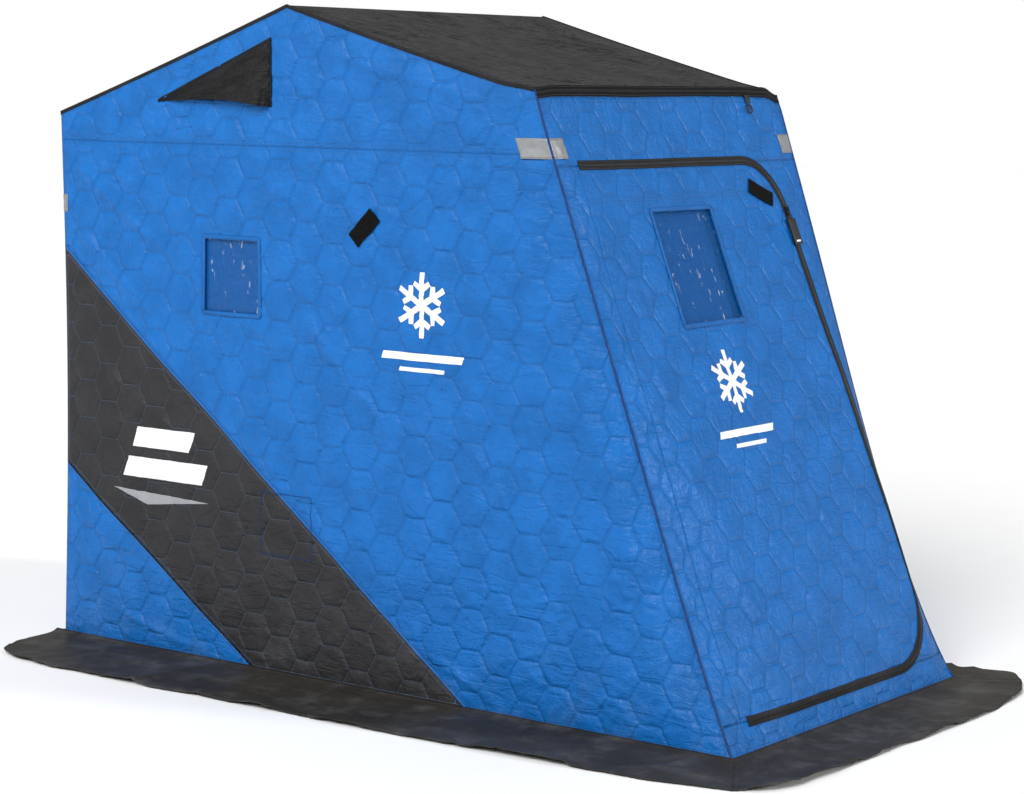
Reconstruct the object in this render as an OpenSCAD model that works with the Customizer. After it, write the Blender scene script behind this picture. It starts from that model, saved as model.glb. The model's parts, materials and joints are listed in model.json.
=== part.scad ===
// Flip-over ice fishing hut: a quilted fabric shell on four folding bows.
// +Z is up, the door faces -Y, X runs across the width.  The origin is on the ground,
// under the middle of the whole object with its ground skirt.
// Side outlines are given as [distance forward of the rear wall, height].

/* [Shell] */
// Width across the side walls
shell_w = 1156; // [900:1:1600]
// Depth of the shell at the ground
shell_depth = 2321; // [2000:1:2800]
// Height of the rear wall
rear_h = 1532; // [1400:1:1650]
// Height of the ridge
peak_h = 1830; // [1750:1:2100]
// Distance of the ridge forward of the rear wall
peak_at = 870; // [700:1:1000]
// Height of the front top edge
front_h = 1607; // [1500:1:1700]
// Distance of the front top edge forward of the rear wall
front_at = 1695; // [1500:1:1850]
// Thickness of the quilted insulated fabric
quilt_t = 6; // [3:0.5:12]

/* [Side walls] */
// Height of the long seam under the gable
seam_h = 1454; // [1300:1:1500]
// Height of the dark band's upper edge at the rear wall
band_top_h = 1148; // [900:1:1250]
// Where the dark band's upper edge meets the ground
band_top_run = 1513; // [1200:1:1800]
// Height of the dark band's lower edge at the rear wall
band_low_h = 518; // [300:1:700]
// Where the dark band's lower edge meets the ground
band_low_run = 759; // [500:1:1000]

/* [Windows] */
// Clear opening of a side window, square
side_window = 200; // [120:1:260]
// Distance of the side window's middle forward of the rear wall
side_window_at = 668; // [500:1:900]
// Height of the side window's middle
side_window_h = 1094; // [1000:1:1250]
// Width of the door window
door_window_w = 276; // [150:1:350]
// Height of the door window along the slope
door_window_h = 306; // [150:1:400]
// Middle of the door window across the front
door_window_x = -76; // [-120:1:60]
// Top edge of the door window, down the slope from the front top edge
door_window_drop = 325; // [300:1:500]
// Thickness of the clear film
film_t = 1; // [0.5:0.1:2]
// How far a window's film and its cover overlap the fabric around the opening
window_lap = 18; // [10:1:30]
// Thickness of the quilted cover behind a window
cover_t = 4; // [2:0.5:8]

/* [Door] */
// Hinge line across the front, measured from the middle
hinge_x = -490; // [-540:1:-400]
// Upper end of the door's free edge, measured from the middle
door_right_top = 430; // [380:1:480]
// Lower end of the door's free edge, measured from the middle
door_right_low = 526; // [440:1:540]
// Top edge of the door, down the slope from the front top edge
door_drop = 195; // [150:1:260]
// Length of the door along the slope
door_len = 1448; // [1300:1:1480]
// Radius of the door's upper free corner
door_r_top = 150; // [60:1:200]
// Radius of the door's lower free corner
door_r_low = 210; // [60:1:260]
// Clearance around the moving door
door_gap = 5; // [5:0.5:10]
// Radius of the piping that the door turns on
piping_r = 2.5; // [1.5:0.1:3]
// Width of the zip tape
zip_w = 20; // [14:1:26]
// Thickness of the zip tape
zip_t = 1.6; // [1:0.1:3]

/* [Roof and vents] */
// Depth of the dark hem below the front top edge
hem_drop = 32; // [20:1:60]
// Thickness of the hem, patches and reflectors
trim_t = 1.5; // [1:0.1:4]
// Tilt of the vent hood away from the gable
hood_tilt = 9; // [4:1:14]
// Thickness of the vent hood
hood_t = 2; // [1:0.1:4]

/* [Ground skirt] */
// Reach of the skirt beside the rear of the shell
skirt_side = 335; // [200:1:450]
// Reach of the skirt in front of the shell
skirt_front = 250; // [150:1:400]
// Reach of the skirt behind the shell
skirt_rear = 35; // [20:1:60]
// Thickness of the laid skirt
skirt_t = 5; // [2:0.5:12]

/* [Frame] */
// Diameter of the frame tube
tube_d = 25; // [19:1:32]
// Distance of the bows' side arms inside the outer face of the side walls
arm_in = 34; // [30:1:60]
// Distance of the pivot forward of the rear wall
pivot_at = 105; // [80:1:200]
// Height of the pivot
pivot_h = 205; // [150:1:300]
// Radius of the pivot hub
hub_r = 72; // [70:1:90]

/* [Hidden] */

blue = "#1f62d0";
charcoal = "#2b2c2e";
grey = "#9b9da0";
seat = 0.3;          // gap between pieces that lie on each other
far = 4000;          // longer than any piece
arc_steps = 10;      // facets of a rounded corner
half_w = shell_w / 2;
tube_r = tube_d / 2;

// The whole object, skirt included, is centred on the origin.
rear_y = (shell_depth + skirt_front - skirt_rear) / 2;
function at(forward, height) = [rear_y - forward, height];

// ---------- outline arithmetic ----------
function unit(v) = v / norm(v);
function inner_normal(a, b) = let (u = unit(b - a)) [-u[1], u[0]];

// Corner b of a counter-clockwise outline, moved in by one distance for each edge.
function inset_corner(a, b, c, in_ab, in_bc) =
    let (n = inner_normal(a, b), m = inner_normal(b, c), det = n[0] * m[1] - m[0] * n[1])
    b + [(in_ab * m[1] - in_bc * n[1]) / det, (n[0] * in_bc - m[0] * in_ab) / det];

// An outline whose edge i, from point i to the next, is moved in by ins[i].
function inset(pts, ins) =
    let (n = len(pts))
    [for (i = [0 : n - 1])
        inset_corner(pts[(i + n - 1) % n], pts[i], pts[(i + 1) % n], ins[(i + n - 1) % n], ins[i])];

// Points of the arc that rounds corner b between its neighbours a and c.
function rounded(a, b, c, r) =
    let (u = unit(a - b), w = unit(c - b), half = acos(u * w) / 2,
         middle = b + unit(u + w) * r / sin(half),
         p = b + u * r / tan(half) - middle,
         q = b + w * r / tan(half) - middle,
         start = atan2(p[1], p[0]),
         turn = (atan2(q[1], q[0]) - start + 540) % 360 - 180)
    [for (i = [0 : arc_steps])
        middle + r * [cos(start + turn * i / arc_steps), sin(start + turn * i / arc_steps)]];

// ---------- shell outline ----------
// Rear bottom, rear top, ridge, front top, front bottom, seen from the right-hand side.
shell = [at(0, 0), at(0, rear_h), at(peak_at, peak_h), at(front_at, front_h), at(shell_depth, 0)];
lining = inset(shell, [quilt_t, quilt_t, quilt_t, quilt_t, skirt_t + seat]);
side_outline = inset(shell, [for (i = [0 : 3]) quilt_t + seat, skirt_t + seat]);
elbow_r = tube_r + 2;   // the bows' elbows are a little fatter than their tubes
bow_corners = inset(shell, [for (i = [0 : 3]) quilt_t + seat + elbow_r, elbow_r + seat]);
wall_foot = skirt_t + seat;

front_top = shell[3];
slope_dir = unit(shell[4] - shell[3]);
front_lean = atan2(-slope_dir[0], -slope_dir[1]);
slope_len = norm(shell[4] - shell[3]);
function down_slope(drop) = front_top + slope_dir * drop;

// ---------- placing ----------
// Draws in the (Y, Z) plane and runs from x0 to x1 across the hut.
module across(pts, x0, x1) {
    translate([x0, 0, 0]) rotate([90, 0, 90]) linear_extrude(x1 - x0) polygon(pts);
}

// side is -1 for the left wall and 1 for the right.  Children lie in (Y, Z, outward).
module on_side(side) {
    mirror([side < 0 ? 1 : 0, 0, 0])
        translate([half_w, 0, 0]) rotate([90, 0, 90]) children();
}

// Children lie in (x, up the slope, outward), with zero at the front top edge.
module on_front() {
    translate([0, front_top[0], front_top[1]]) rotate([90 - front_lean, 0, 0]) children();
}

// A sheet of thickness t whose outer face is `out` outside the surface it is drawn on.
module sheet(pts, t, out = 0) {
    translate([0, 0, out - t]) linear_extrude(t) polygon(pts);
}

function box(x0, x1, y0, y1) = [[x0, y0], [x1, y0], [x1, y1], [x0, y1]];

// ---------- side walls ----------
// The part of a side wall inside the outline `cut`.
module side_panel(side, cut) {
    on_side(side) intersection() {
        sheet(side_outline, quilt_t);
        sheet(cut, 3 * quilt_t, quilt_t);
    }
}

band_top = [at(0, band_top_h), at(band_top_run, 0)];
band_low = [at(0, band_low_h), at(band_low_run, 0)];

// A line carried past the shell at both ends, moved up by `lift`.
function long_line(line, lift) =
    let (u = unit(line[1] - line[0]), n = [-u[1], u[0]], up = n[1] > 0 ? n : -n)
    [line[0] - u * far + up * lift, line[1] + u * far + up * lift];
function above(line, lift) = let (l = long_line(line, lift)) [l[0], l[1], l[1] + [0, 3 * far], l[0] + [0, 3 * far]];
function below(line, lift) = let (l = long_line(line, lift)) [l[0], l[1], l[1] - [0, 3 * far], l[0] - [0, 3 * far]];

upper_half = box(-far, far, seam_h + seat / 2, far);
lower_half = box(-far, far, -far, seam_h - seat / 2);

vent_tip = at(390, rear_h + 39);
vent_top = at(811, rear_h + 204);
vent_foot = at(811, rear_h + 27);
vent_margin = 28;    // fabric left around the vent hole under its hood
vent_edge = vent_top - vent_tip;
vent_angle = atan2(vent_edge[1], vent_edge[0]);

module gable(side) color(blue) difference() {
    side_panel(side, upper_half);
    on_side(side)
        sheet(inset([vent_tip, vent_top, vent_foot], [for (i = [0 : 2]) vent_margin]), 4 * quilt_t, quilt_t);
}

window_middle = at(side_window_at, side_window_h);
function window_square(grow) =
    let (h = side_window / 2 + grow)
    box(window_middle[0] - h, window_middle[0] + h, window_middle[1] - h, window_middle[1] + h);

module wall_front(side) color(blue) difference() {
    intersection() {
        side_panel(side, lower_half);
        on_side(side) sheet(above(band_top, seat / 2), 3 * quilt_t, quilt_t);
    }
    on_side(side) sheet(window_square(0), 4 * quilt_t, quilt_t);
}

module wall_band(side) color(charcoal) intersection() {
    side_panel(side, below(band_top, -seat / 2));
    on_side(side) sheet(above(band_low, seat / 2), 3 * quilt_t, quilt_t);
}

module wall_corner(side) color(blue) side_panel(side, below(band_low, -seat / 2));

// A window's film and its cover lie behind the opening, one after the other.
film_out = -quilt_t - seat;
cover_out = film_out - film_t - seat;

module side_film(side) color("#8fb0dc") on_side(side) sheet(window_square(window_lap), film_t, film_out);
module side_cover(side) color(blue) on_side(side) sheet(window_square(window_lap), cover_t, cover_out);

// The hood is sewn to the gable along its top edge and its front edge, and stands open below.
module vent_hood(side) {
    length = norm(vent_edge);
    drop = vent_foot - vent_tip;
    foot = [drop * vent_edge, vent_edge[0] * drop[1] - vent_edge[1] * drop[0]] / length;
    stand_off = foot[1] * sin(hood_tilt);
    color(charcoal) on_side(side) {
        translate([vent_tip[0], vent_tip[1], seat]) rotate([0, 0, vent_angle]) rotate([hood_tilt, 0, 0])
            linear_extrude(hood_t) polygon([[0, 0], [length, 0], foot]);
        translate([vent_foot[0], 0, seat]) rotate([0, -90, 0]) mirror([0, 0, 1])
            linear_extrude(hood_t)
                polygon([[0, vent_foot[1] + hood_t], [0, vent_top[1] - hood_t], [stand_off, vent_foot[1] + hood_t]]);
    }
}

patch_size = [98, 50];
patch_middle = at(1149, 1248);
module side_patch(side) color(charcoal) on_side(side)
    translate([patch_middle[0], patch_middle[1], seat]) rotate([0, 0, 135])
        translate([-patch_size[0] / 2, -patch_size[1] / 2, 0]) cube([patch_size[0], patch_size[1], trim_t]);

// ---------- rear wall and roof ----------
module rear_wall() color(blue)
    across([lining[0], [shell[0][0], wall_foot], shell[1], lining[1]], -half_w, half_w);
module roof_rear() color(charcoal)
    across([lining[1] - [seat, 0], shell[1] - [seat, 0], shell[2] + [seat, 0], lining[2] + [seat, 0]], -half_w, half_w);
module roof_front() color(charcoal)
    across([lining[2] - [seat, 0], shell[2] - [seat, 0], shell[3] + [seat, 0], lining[3] + [seat, 0]], -half_w, half_w);
module roof_hem() color(charcoal) on_front()
    sheet(box(-half_w, half_w, -hem_drop, 0), trim_t, trim_t + seat);

// ---------- front wall around the door ----------
slope_in = inner_normal(shell[3], shell[4]);
front_foot = inset_corner(shell[3], shell[4], shell[0], 0, wall_foot);
door_low = door_drop + door_len;

module front_header() color(blue)
    across([shell[3], down_slope(door_drop - door_gap), down_slope(door_drop - door_gap) + slope_in * quilt_t,
            lining[3]], -half_w, half_w);
module front_sill() color(blue)
    across([down_slope(door_low + door_gap), front_foot, lining[4],
            down_slope(door_low + door_gap) + slope_in * quilt_t], -half_w, half_w);

door_corners = [
    [hinge_x + piping_r + seat, -door_drop], [hinge_x + piping_r + seat, -door_low],
    [door_right_low, -door_low], [door_right_top, -door_drop]
];
// The door's outline grown by `grow` on its three free sides.
function door_outline(grow) =
    let (c = inset(door_corners, [0, -grow, -grow, -grow]))
    concat([c[0], c[1]], rounded(c[1], c[2], c[3], door_r_low + grow), rounded(c[2], c[3], c[0], door_r_top + grow));

strip_top = -(door_drop - door_gap + seat);
strip_low = -(door_low + door_gap - seat);

module front_left_strip() color(blue) {
    on_front() {
        sheet(box(-half_w, hinge_x, strip_low, strip_top), quilt_t);
        translate([hinge_x, -door_low, 0]) rotate([-90, 0, 0]) cylinder(h = door_len, r = piping_r, $fn = 24);
    }
}
module front_right_strip() color(blue) on_front() difference() {
    sheet(box(door_right_top - door_r_top, half_w, strip_low, strip_top), quilt_t);
    sheet(door_outline(door_gap), 3 * quilt_t, quilt_t);
}

// A band of the zip's width along the door's three free sides.
module zip_band(out) intersection() {
    difference() {
        sheet(door_outline(door_gap / 2 + zip_w / 2), zip_t, out);
        sheet(door_outline(door_gap / 2 - zip_w / 2), 3 * zip_t, out + zip_t);
    }
    sheet(box(hinge_x + 2 * zip_w, half_w, -slope_len, 0), 3 * zip_t, out + zip_t);
}
module front_zip_tape() color(charcoal) on_front() zip_band(-quilt_t - seat);
module door_zip() color(charcoal) on_front() zip_band(zip_t + seat);

door_window_left = door_window_x - door_window_w / 2;
function door_window_box(grow) = box(door_window_left - grow, door_window_left + door_window_w + grow,
    -door_window_drop - door_window_h - grow, -door_window_drop + grow);

module door_flap() color(blue) on_front() difference() {
    sheet(door_outline(0), quilt_t);
    sheet(door_window_box(0), 3 * quilt_t, quilt_t);
}
module door_window() color("#8fb0dc") on_front() sheet(door_window_box(window_lap), film_t, film_out);
module door_window_cover() color(blue) on_front() sheet(door_window_box(window_lap), cover_t, cover_out);

door_patch_middle = [door_right_top - 93, -(door_drop + 92)];
module door_patch() color(charcoal) on_front()
    translate([door_patch_middle[0], door_patch_middle[1], seat]) rotate([0, 0, -24])
        translate([-patch_size[0] / 2, -patch_size[1] / 2, 0]) cube([patch_size[0], patch_size[1], trim_t]);

// The slider sits on the zip at the free edge, and its pull hangs down from it.
slider_drop = door_drop + 150;
slider_size = [16, 34, 7];
pull_size = [22, 66, 2.5];
free_edge_x = door_right_top + (door_right_low - door_right_top) * 150 / door_len + door_gap / 2;
module zip_slider() color("#18191b") on_front() translate([free_edge_x, -slider_drop, zip_t + 2 * seat]) {
    translate([-slider_size[0] / 2, -slider_size[1] / 2, 0]) cube(slider_size);
    translate([-pull_size[0] / 2, -slider_size[1] / 2 - pull_size[1] + 6, slider_size[2] - 0.5])
        cube(pull_size);
}

// ---------- reflectors and hook ----------
reflector_h = 51;
front_reflector_low = 1444;
rear_reflector_low = 1246;
reflector_front_reach = 60;
reflector_side_reach = 98;
reflector_rear_reach = 100;
reflector_turn = 20;
function drop_at(height) = (front_h - height) / cos(front_lean);

module front_reflector(side) {
    top = drop_at(front_reflector_low + reflector_h);
    low = drop_at(front_reflector_low);
    edge_top = down_slope(top) - slope_in * (trim_t + seat);
    edge_low = down_slope(low) - slope_in * (trim_t + seat);
    outer = half_w + seat + trim_t;
    mirror([side < 0 ? 1 : 0, 0, 0]) {
        on_front() sheet(box(half_w - reflector_front_reach, outer, -low, -top), trim_t, trim_t + seat);
        on_side(1) sheet([edge_top, edge_low, edge_low + [reflector_side_reach, 0],
            edge_top + [reflector_side_reach, 0]], trim_t, trim_t + seat);
    }
}
module rear_reflector(side) {
    outer = half_w + seat + trim_t;
    mirror([side < 0 ? 1 : 0, 0, 0]) translate([0, rear_y, rear_reflector_low]) {
        translate([outer - reflector_rear_reach, seat, 0]) cube([reflector_rear_reach, trim_t, reflector_h]);
        translate([half_w + seat, -reflector_turn, 0]) cube([trim_t, reflector_turn + seat + trim_t, reflector_h]);
    }
}
module front_reflectors() color(grey) for (side = [-1, 1]) front_reflector(side);
module rear_reflectors() color(grey) for (side = [-1, 1]) rear_reflector(side);

ring_r = 12;
ring_wire = 2.5;
hook_x = 397;
hook_tab = [18, 22, 2];
module hanging_hook() color("#18191b") on_front() translate([hook_x, -hem_drop, trim_t + 2 * seat]) {
    translate([-hook_tab[0] / 2, -hook_tab[1] + ring_wire, 0]) cube(hook_tab);
    translate([0, -hook_tab[1] - ring_r + 2 * ring_wire, ring_wire])
        rotate_extrude($fn = 32) translate([ring_r, 0]) circle(r = ring_wire, $fn = 16);
}

// ---------- ground skirt ----------
// Outer edge of a laid skirt, as [outward share of its reach, distance forward of the rear wall].
left_reach = [[0.34, -skirt_rear], [0.82, 35], [1, 150], [1, 600], [0.96, 1160], [0.91, 1560], [0.86, 1900],
    [0.8, shell_depth - 70], [0.7, shell_depth + 60]];
right_reach = [[0.34, -skirt_rear], [0.82, 35], [1, 150], [1, 600], [0.9, 1160], [0.72, 1560], [0.55, 1900],
    [0.4, shell_depth - 40], [0.53, shell_depth + 90]];
left_mitre = [-(half_w + 0.64 * skirt_side), shell_depth + 0.52 * skirt_front];
right_mitre = [half_w + 0.35 * skirt_side, shell_depth + 0.57 * skirt_front];
// Outer edge of the front skirt, as [place across the front, share of its reach].
front_reach = [[-half_w - 0.48 * skirt_side, 0.78], [-half_w - 0.23 * skirt_side, 0.93], [-520, 0.93], [0, 0.97],
    [345, 1], [555, 0.85]];
skirt_in = half_w - quilt_t;

function ground(p) = [p[0], rear_y - p[1]];
module laid(pts) color(charcoal) linear_extrude(skirt_t) polygon([for (p = pts) ground(p)]);

function side_skirt(side, reach, mitre) = concat(
    [[side * skirt_in, shell_depth - quilt_t], [side * skirt_in, -skirt_rear]],
    [for (p = reach) [side * (half_w + p[0] * skirt_side), p[1]]],
    [mitre]);
module skirt_left() laid(side_skirt(-1, left_reach, left_mitre));
module skirt_right() laid(side_skirt(1, right_reach, right_mitre));
module skirt_front() laid(concat(
    [[skirt_in - seat, shell_depth - quilt_t], [-skirt_in + seat, shell_depth - quilt_t],
     left_mitre + [seat, seat]],
    [for (p = front_reach) [p[0], shell_depth + p[1] * skirt_front]],
    [right_mitre + [-seat, seat]]));
module skirt_rear() laid([[-skirt_in + seat, -skirt_rear], [skirt_in - seat, -skirt_rear],
    [skirt_in - seat, quilt_t], [-skirt_in + seat, quilt_t]]);

// ---------- frame ----------
arm_x = half_w - arm_in;
pivot = at(pivot_at, pivot_h);
tube_sides = 32;
foot_size = [30, 120, 8];
leg_size = [18, 50];
module bar(length) cylinder(h = length, r = tube_r, $fn = tube_sides);

// One bow: two arms up from the hubs, and a bar across between their elbows.
module bow(corner) color("#5c6066") {
    reach = corner - pivot;
    length = norm(reach) - hub_r - seat;
    for (side = [-1, 1]) translate([side * arm_x, corner[0], corner[1]])
        rotate([180 - atan2(reach[0], reach[1]), 0, 0]) {
            sphere(r = elbow_r, $fn = tube_sides);
            bar(length);
        }
    translate([-arm_x, corner[0], corner[1]]) rotate([0, 90, 0]) bar(2 * arm_x);
}

// The hub that the bows fold on, on a short leg with a foot.
module pivot_bracket(side) color("#18191b") translate([side * arm_x, pivot[0], 0]) {
    translate([-tube_r, 0, pivot[1]]) rotate([0, 90, 0]) cylinder(h = tube_d, r = hub_r, $fn = 64);
    translate([-leg_size[0] / 2, -leg_size[1] / 2, foot_size[2] / 2])
        cube([leg_size[0], leg_size[1], pivot[1] - foot_size[2] / 2]);
    translate([-foot_size[0] / 2, -foot_size[1] / 2, 0]) cube(foot_size);
}

rear_wall();
roof_rear();
roof_front();
roof_hem();
gable(-1);  // left_gable
gable(1);  // right_gable
wall_front(-1);  // left_wall_front
wall_front(1);  // right_wall_front
wall_band(-1);  // left_wall_band
wall_band(1);  // right_wall_band
wall_corner(-1);  // left_wall_corner
wall_corner(1);  // right_wall_corner
side_film(-1);  // left_window
side_film(1);  // right_window
side_cover(-1);  // left_window_cover
side_cover(1);  // right_window_cover
vent_hood(-1);  // left_vent_hood
vent_hood(1);  // right_vent_hood
side_patch(-1);  // left_patch
side_patch(1);  // right_patch
front_header();
front_left_strip();
front_right_strip();
front_sill();
front_zip_tape();
door_flap();
door_window();
door_window_cover();
door_patch();
door_zip();
zip_slider();
front_reflectors();
rear_reflectors();
hanging_hook();
skirt_left();
skirt_right();
skirt_front();
skirt_rear();
bow(bow_corners[1]);  // rear_bow
bow(bow_corners[2]);  // peak_bow
bow(bow_corners[3]);  // front_bow
bow(bow_corners[4]);  // base_bow
pivot_bracket(-1);  // left_pivot
pivot_bracket(1);  // right_pivot
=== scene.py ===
"""Looks of the flip-over ice fishing shelter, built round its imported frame."""

import json
import logging
import math
from collections.abc import Callable, Sequence
from dataclasses import dataclass, field
from enum import Enum

import bmesh
import bpy
import numpy as np
from mathutils import Matrix, Vector

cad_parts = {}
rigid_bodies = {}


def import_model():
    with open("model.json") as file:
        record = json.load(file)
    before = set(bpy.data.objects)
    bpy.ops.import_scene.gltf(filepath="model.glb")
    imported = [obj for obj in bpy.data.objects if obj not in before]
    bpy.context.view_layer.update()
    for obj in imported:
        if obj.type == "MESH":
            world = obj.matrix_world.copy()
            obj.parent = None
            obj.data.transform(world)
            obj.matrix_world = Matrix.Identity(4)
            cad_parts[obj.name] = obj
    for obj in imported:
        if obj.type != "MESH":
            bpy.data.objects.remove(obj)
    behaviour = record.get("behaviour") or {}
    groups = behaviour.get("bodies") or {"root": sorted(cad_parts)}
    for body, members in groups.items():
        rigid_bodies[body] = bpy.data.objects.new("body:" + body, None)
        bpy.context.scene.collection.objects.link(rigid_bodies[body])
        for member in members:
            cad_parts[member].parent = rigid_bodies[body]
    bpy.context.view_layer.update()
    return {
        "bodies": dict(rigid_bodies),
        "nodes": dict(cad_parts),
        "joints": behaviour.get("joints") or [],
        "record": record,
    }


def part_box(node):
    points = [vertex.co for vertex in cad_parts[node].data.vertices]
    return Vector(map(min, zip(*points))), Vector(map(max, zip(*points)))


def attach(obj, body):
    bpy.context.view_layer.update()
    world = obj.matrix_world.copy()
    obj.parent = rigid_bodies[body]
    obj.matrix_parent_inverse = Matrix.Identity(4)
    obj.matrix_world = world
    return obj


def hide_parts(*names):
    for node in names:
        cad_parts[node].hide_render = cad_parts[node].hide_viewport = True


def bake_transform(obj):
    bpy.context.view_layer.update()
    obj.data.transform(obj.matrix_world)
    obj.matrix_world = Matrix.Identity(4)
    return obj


LOG = logging.getLogger("shelter")
Array = np.ndarray
Point = tuple[float, float]
Colour = tuple[float, float, float]
Placer = Callable[[Array, Array], Array]
Piece = bpy.types.Object
Mesh = bpy.types.Mesh
Socket = bpy.types.NodeSocket
Node = bpy.types.Node
BMesh = bmesh.types.BMesh

HEX_PITCH = 0.109
HEX_SIDE = HEX_PITCH / math.sqrt(3.0)
CLOTH_EDGE = HEX_SIDE / 7.0
REAR_SEED = 31
QUILT_THICK = 0.005
THREAD = 0.0006
STITCH_ROWS = (0.003, 0.0105)
STITCH_WIDTH = 0.0009


class Side(Enum):
    """A side of the shelter, by the sign of its x."""

    LEFT = -1
    RIGHT = 1


class Profile(Enum):
    """Cross-section of a trim that is sewn along a line."""

    FLAT = "flat"
    ROUND = "round"
    COIL = "coil"


class Slot(Enum):
    """The record's material slots."""

    BLUE = "quilt_blue"
    BLACK = "quilt_black"
    ROOF = "roof_cloth"
    SKIRT = "skirt_cloth"
    FILM = "clear_film"
    HOOK_TAPE = "hook_tape"
    ZIP = "zip_tape"
    HARDWARE = "hardware"
    REFLECTOR = "reflector"
    TUBE = "frame_tube"


# ---------------------------------------------------------------- numbers


def smooth(t: Array) -> Array:
    """Returns t eased from 0 to 1, flat at both ends."""
    t = np.clip(t, 0.0, 1.0)
    return t * t * (3.0 - 2.0 * t)


def slack(t: Array) -> Array:
    """Returns a pull that fades evenly from 1 at t = 0 to 0 at t = 1, with a soft end."""
    s = 1.0 - t
    return 0.5 * (s + np.sqrt(s * s + 0.006))


def soft_noise(u: Array, v: Array, seed: int) -> Array:
    """Smooth seeded noise between -1 and 1.

    Args:
        u: First coordinate, one cell to a unit.
        v: Second coordinate, one cell to a unit.
        seed: Chooses the pattern.

    Returns:
        The noise at each point.
    """
    table = np.random.default_rng(seed).uniform(-1.0, 1.0, (128, 128))
    iu = np.floor(u).astype(int)
    iv = np.floor(v).astype(int)
    fu = smooth(u - iu)
    fv = smooth(v - iv)
    low = table[iu % 128, iv % 128] * (1 - fu) + table[(iu + 1) % 128, iv % 128] * fu
    high = table[iu % 128, (iv + 1) % 128] * (1 - fu) + table[(iu + 1) % 128, (iv + 1) % 128] * fu
    return low * (1 - fv) + high * fv


def folds(u: Array, v: Array, turn: float, size: Point, seed: int) -> Array:
    """Narrow wandering ridges in cloth.

    Args:
        u: First coordinate in metres.
        v: Second coordinate in metres.
        turn: Direction of the ridges in degrees.
        size: Length of a ridge and distance between ridges, in metres.
        seed: Chooses the pattern.

    Returns:
        Ridge height from 0 to 1.
    """
    c = math.cos(math.radians(turn))
    s = math.sin(math.radians(turn))
    along = (u * c + v * s) / size[0]
    across = (v * c - u * s) / size[1]
    across = across + 0.7 * soft_noise(along * 1.4, across * 0.4, seed + 1)
    value = soft_noise(along, across, seed)
    strength = 0.5 + 0.5 * soft_noise(along * 0.8 + 7.0, across * 0.3, seed + 2)
    return np.exp(-((value / 0.12) ** 2)) * np.clip(strength, 0.0, 1.0)


def hex_cells(u: Array, v: Array) -> tuple[Array, Array, Array]:
    """Finds the quilting hexagon round each point.

    Args:
        u: First coordinate in metres.
        v: Second coordinate in metres.

    Returns:
        Distance to the nearest quilting line, and the cell's middle.
    """
    half = HEX_PITCH / 2.0
    found = []
    for du, dv in ((0.0, 0.0), (1.5 * HEX_SIDE, half)):
        x = (u - du + 1.5 * HEX_SIDE) % (3.0 * HEX_SIDE) - 1.5 * HEX_SIDE
        y = (v - dv + half) % (2.0 * half) - half
        reach = np.maximum(np.abs(y), np.abs(x) * math.sqrt(0.75) + np.abs(y) * 0.5)
        found.append((reach, u - x, v - y))
    first = found[0][0] <= found[1][0]
    distance = half - np.where(first, found[0][0], found[1][0])
    return (
        distance,
        np.where(first, found[0][1], found[1][1]),
        np.where(first, found[0][2], found[1][2]),
    )


def line_distance(u: Array, v: Array, lines: Sequence[Sequence[Point]]) -> tuple[Array, Array]:
    """Distance to the nearest of some lines.

    Args:
        u: First coordinate in metres.
        v: Second coordinate in metres.
        lines: Open lines, each a list of points.

    Returns:
        The distance to the nearest line, and how far along that line the nearest point is.
    """
    best = np.full(u.shape, 9.0)
    run = np.zeros(u.shape)
    for line in lines:
        start = 0.0
        for a, b in zip(line[:-1], line[1:]):
            dx = b[0] - a[0]
            dy = b[1] - a[1]
            length = math.hypot(dx, dy)
            if length < 1e-9:
                continue
            t = np.clip(((u - a[0]) * dx + (v - a[1]) * dy) / length**2, 0.0, 1.0)
            gap = np.hypot(u - a[0] - t * dx, v - a[1] - t * dy)
            nearer = gap < best
            best = np.where(nearer, gap, best)
            run = np.where(nearer, start + t * length, run)
            start += length
    return best, run


def closed(outline: Sequence[Point]) -> list[Point]:
    """Returns the outline with its first point repeated at the end."""
    return [*outline, outline[0]]


def inside(u: Array, v: Array, outline: Sequence[Point]) -> Array:
    """Tells which points lie inside a closed outline.

    Args:
        u: First coordinate.
        v: Second coordinate.
        outline: The outline's corners.

    Returns:
        True for each point inside.
    """
    within = np.zeros(u.shape, bool)
    ring = closed(outline)
    for a, b in zip(ring[:-1], ring[1:]):
        spans = (a[1] > v) != (b[1] > v)
        rise = b[1] - a[1] if abs(b[1] - a[1]) > 1e-12 else 1e-12
        within ^= spans & (u < (b[0] - a[0]) * (v - a[1]) / rise + a[0])
    return within


def area_of(outline: Sequence[Point]) -> float:
    """Returns the area inside an outline, in square metres."""
    ring = closed(outline)
    return abs(sum(a[0] * b[1] - b[0] * a[1] for a, b in zip(ring[:-1], ring[1:]))) / 2.0


def extent_of(outline: Sequence[Point]) -> Point:
    """Returns the width and height of an outline's box."""
    us = [p[0] for p in outline]
    vs = [p[1] for p in outline]
    return max(us) - min(us), max(vs) - min(vs)


def rounded(a: Point, b: Point, c: Point, radius: float, steps: int = 8) -> list[Point]:
    """Rounds the corner at b.

    Args:
        a: The point before the corner.
        b: The corner.
        c: The point after the corner.
        radius: Radius of the arc.
        steps: Pieces in the arc.

    Returns:
        Points along the arc.
    """
    pa = Vector(a) - Vector(b)
    pc = Vector(c) - Vector(b)
    pa.normalize()
    pc.normalize()
    half = pa.angle(pc) / 2.0
    middle = Vector(b) + (pa + pc).normalized() * (radius / math.sin(half))
    start = Vector(b) + pa * (radius / math.tan(half)) - middle
    end = Vector(b) + pc * (radius / math.tan(half)) - middle
    turn = math.atan2(start.x * end.y - start.y * end.x, start.dot(end))
    arc = []
    for i in range(steps + 1):
        spin = turn * i / steps
        x = start.x * math.cos(spin) - start.y * math.sin(spin)
        y = start.x * math.sin(spin) + start.y * math.cos(spin)
        arc.append((middle.x + x, middle.y + y))
    return arc


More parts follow.
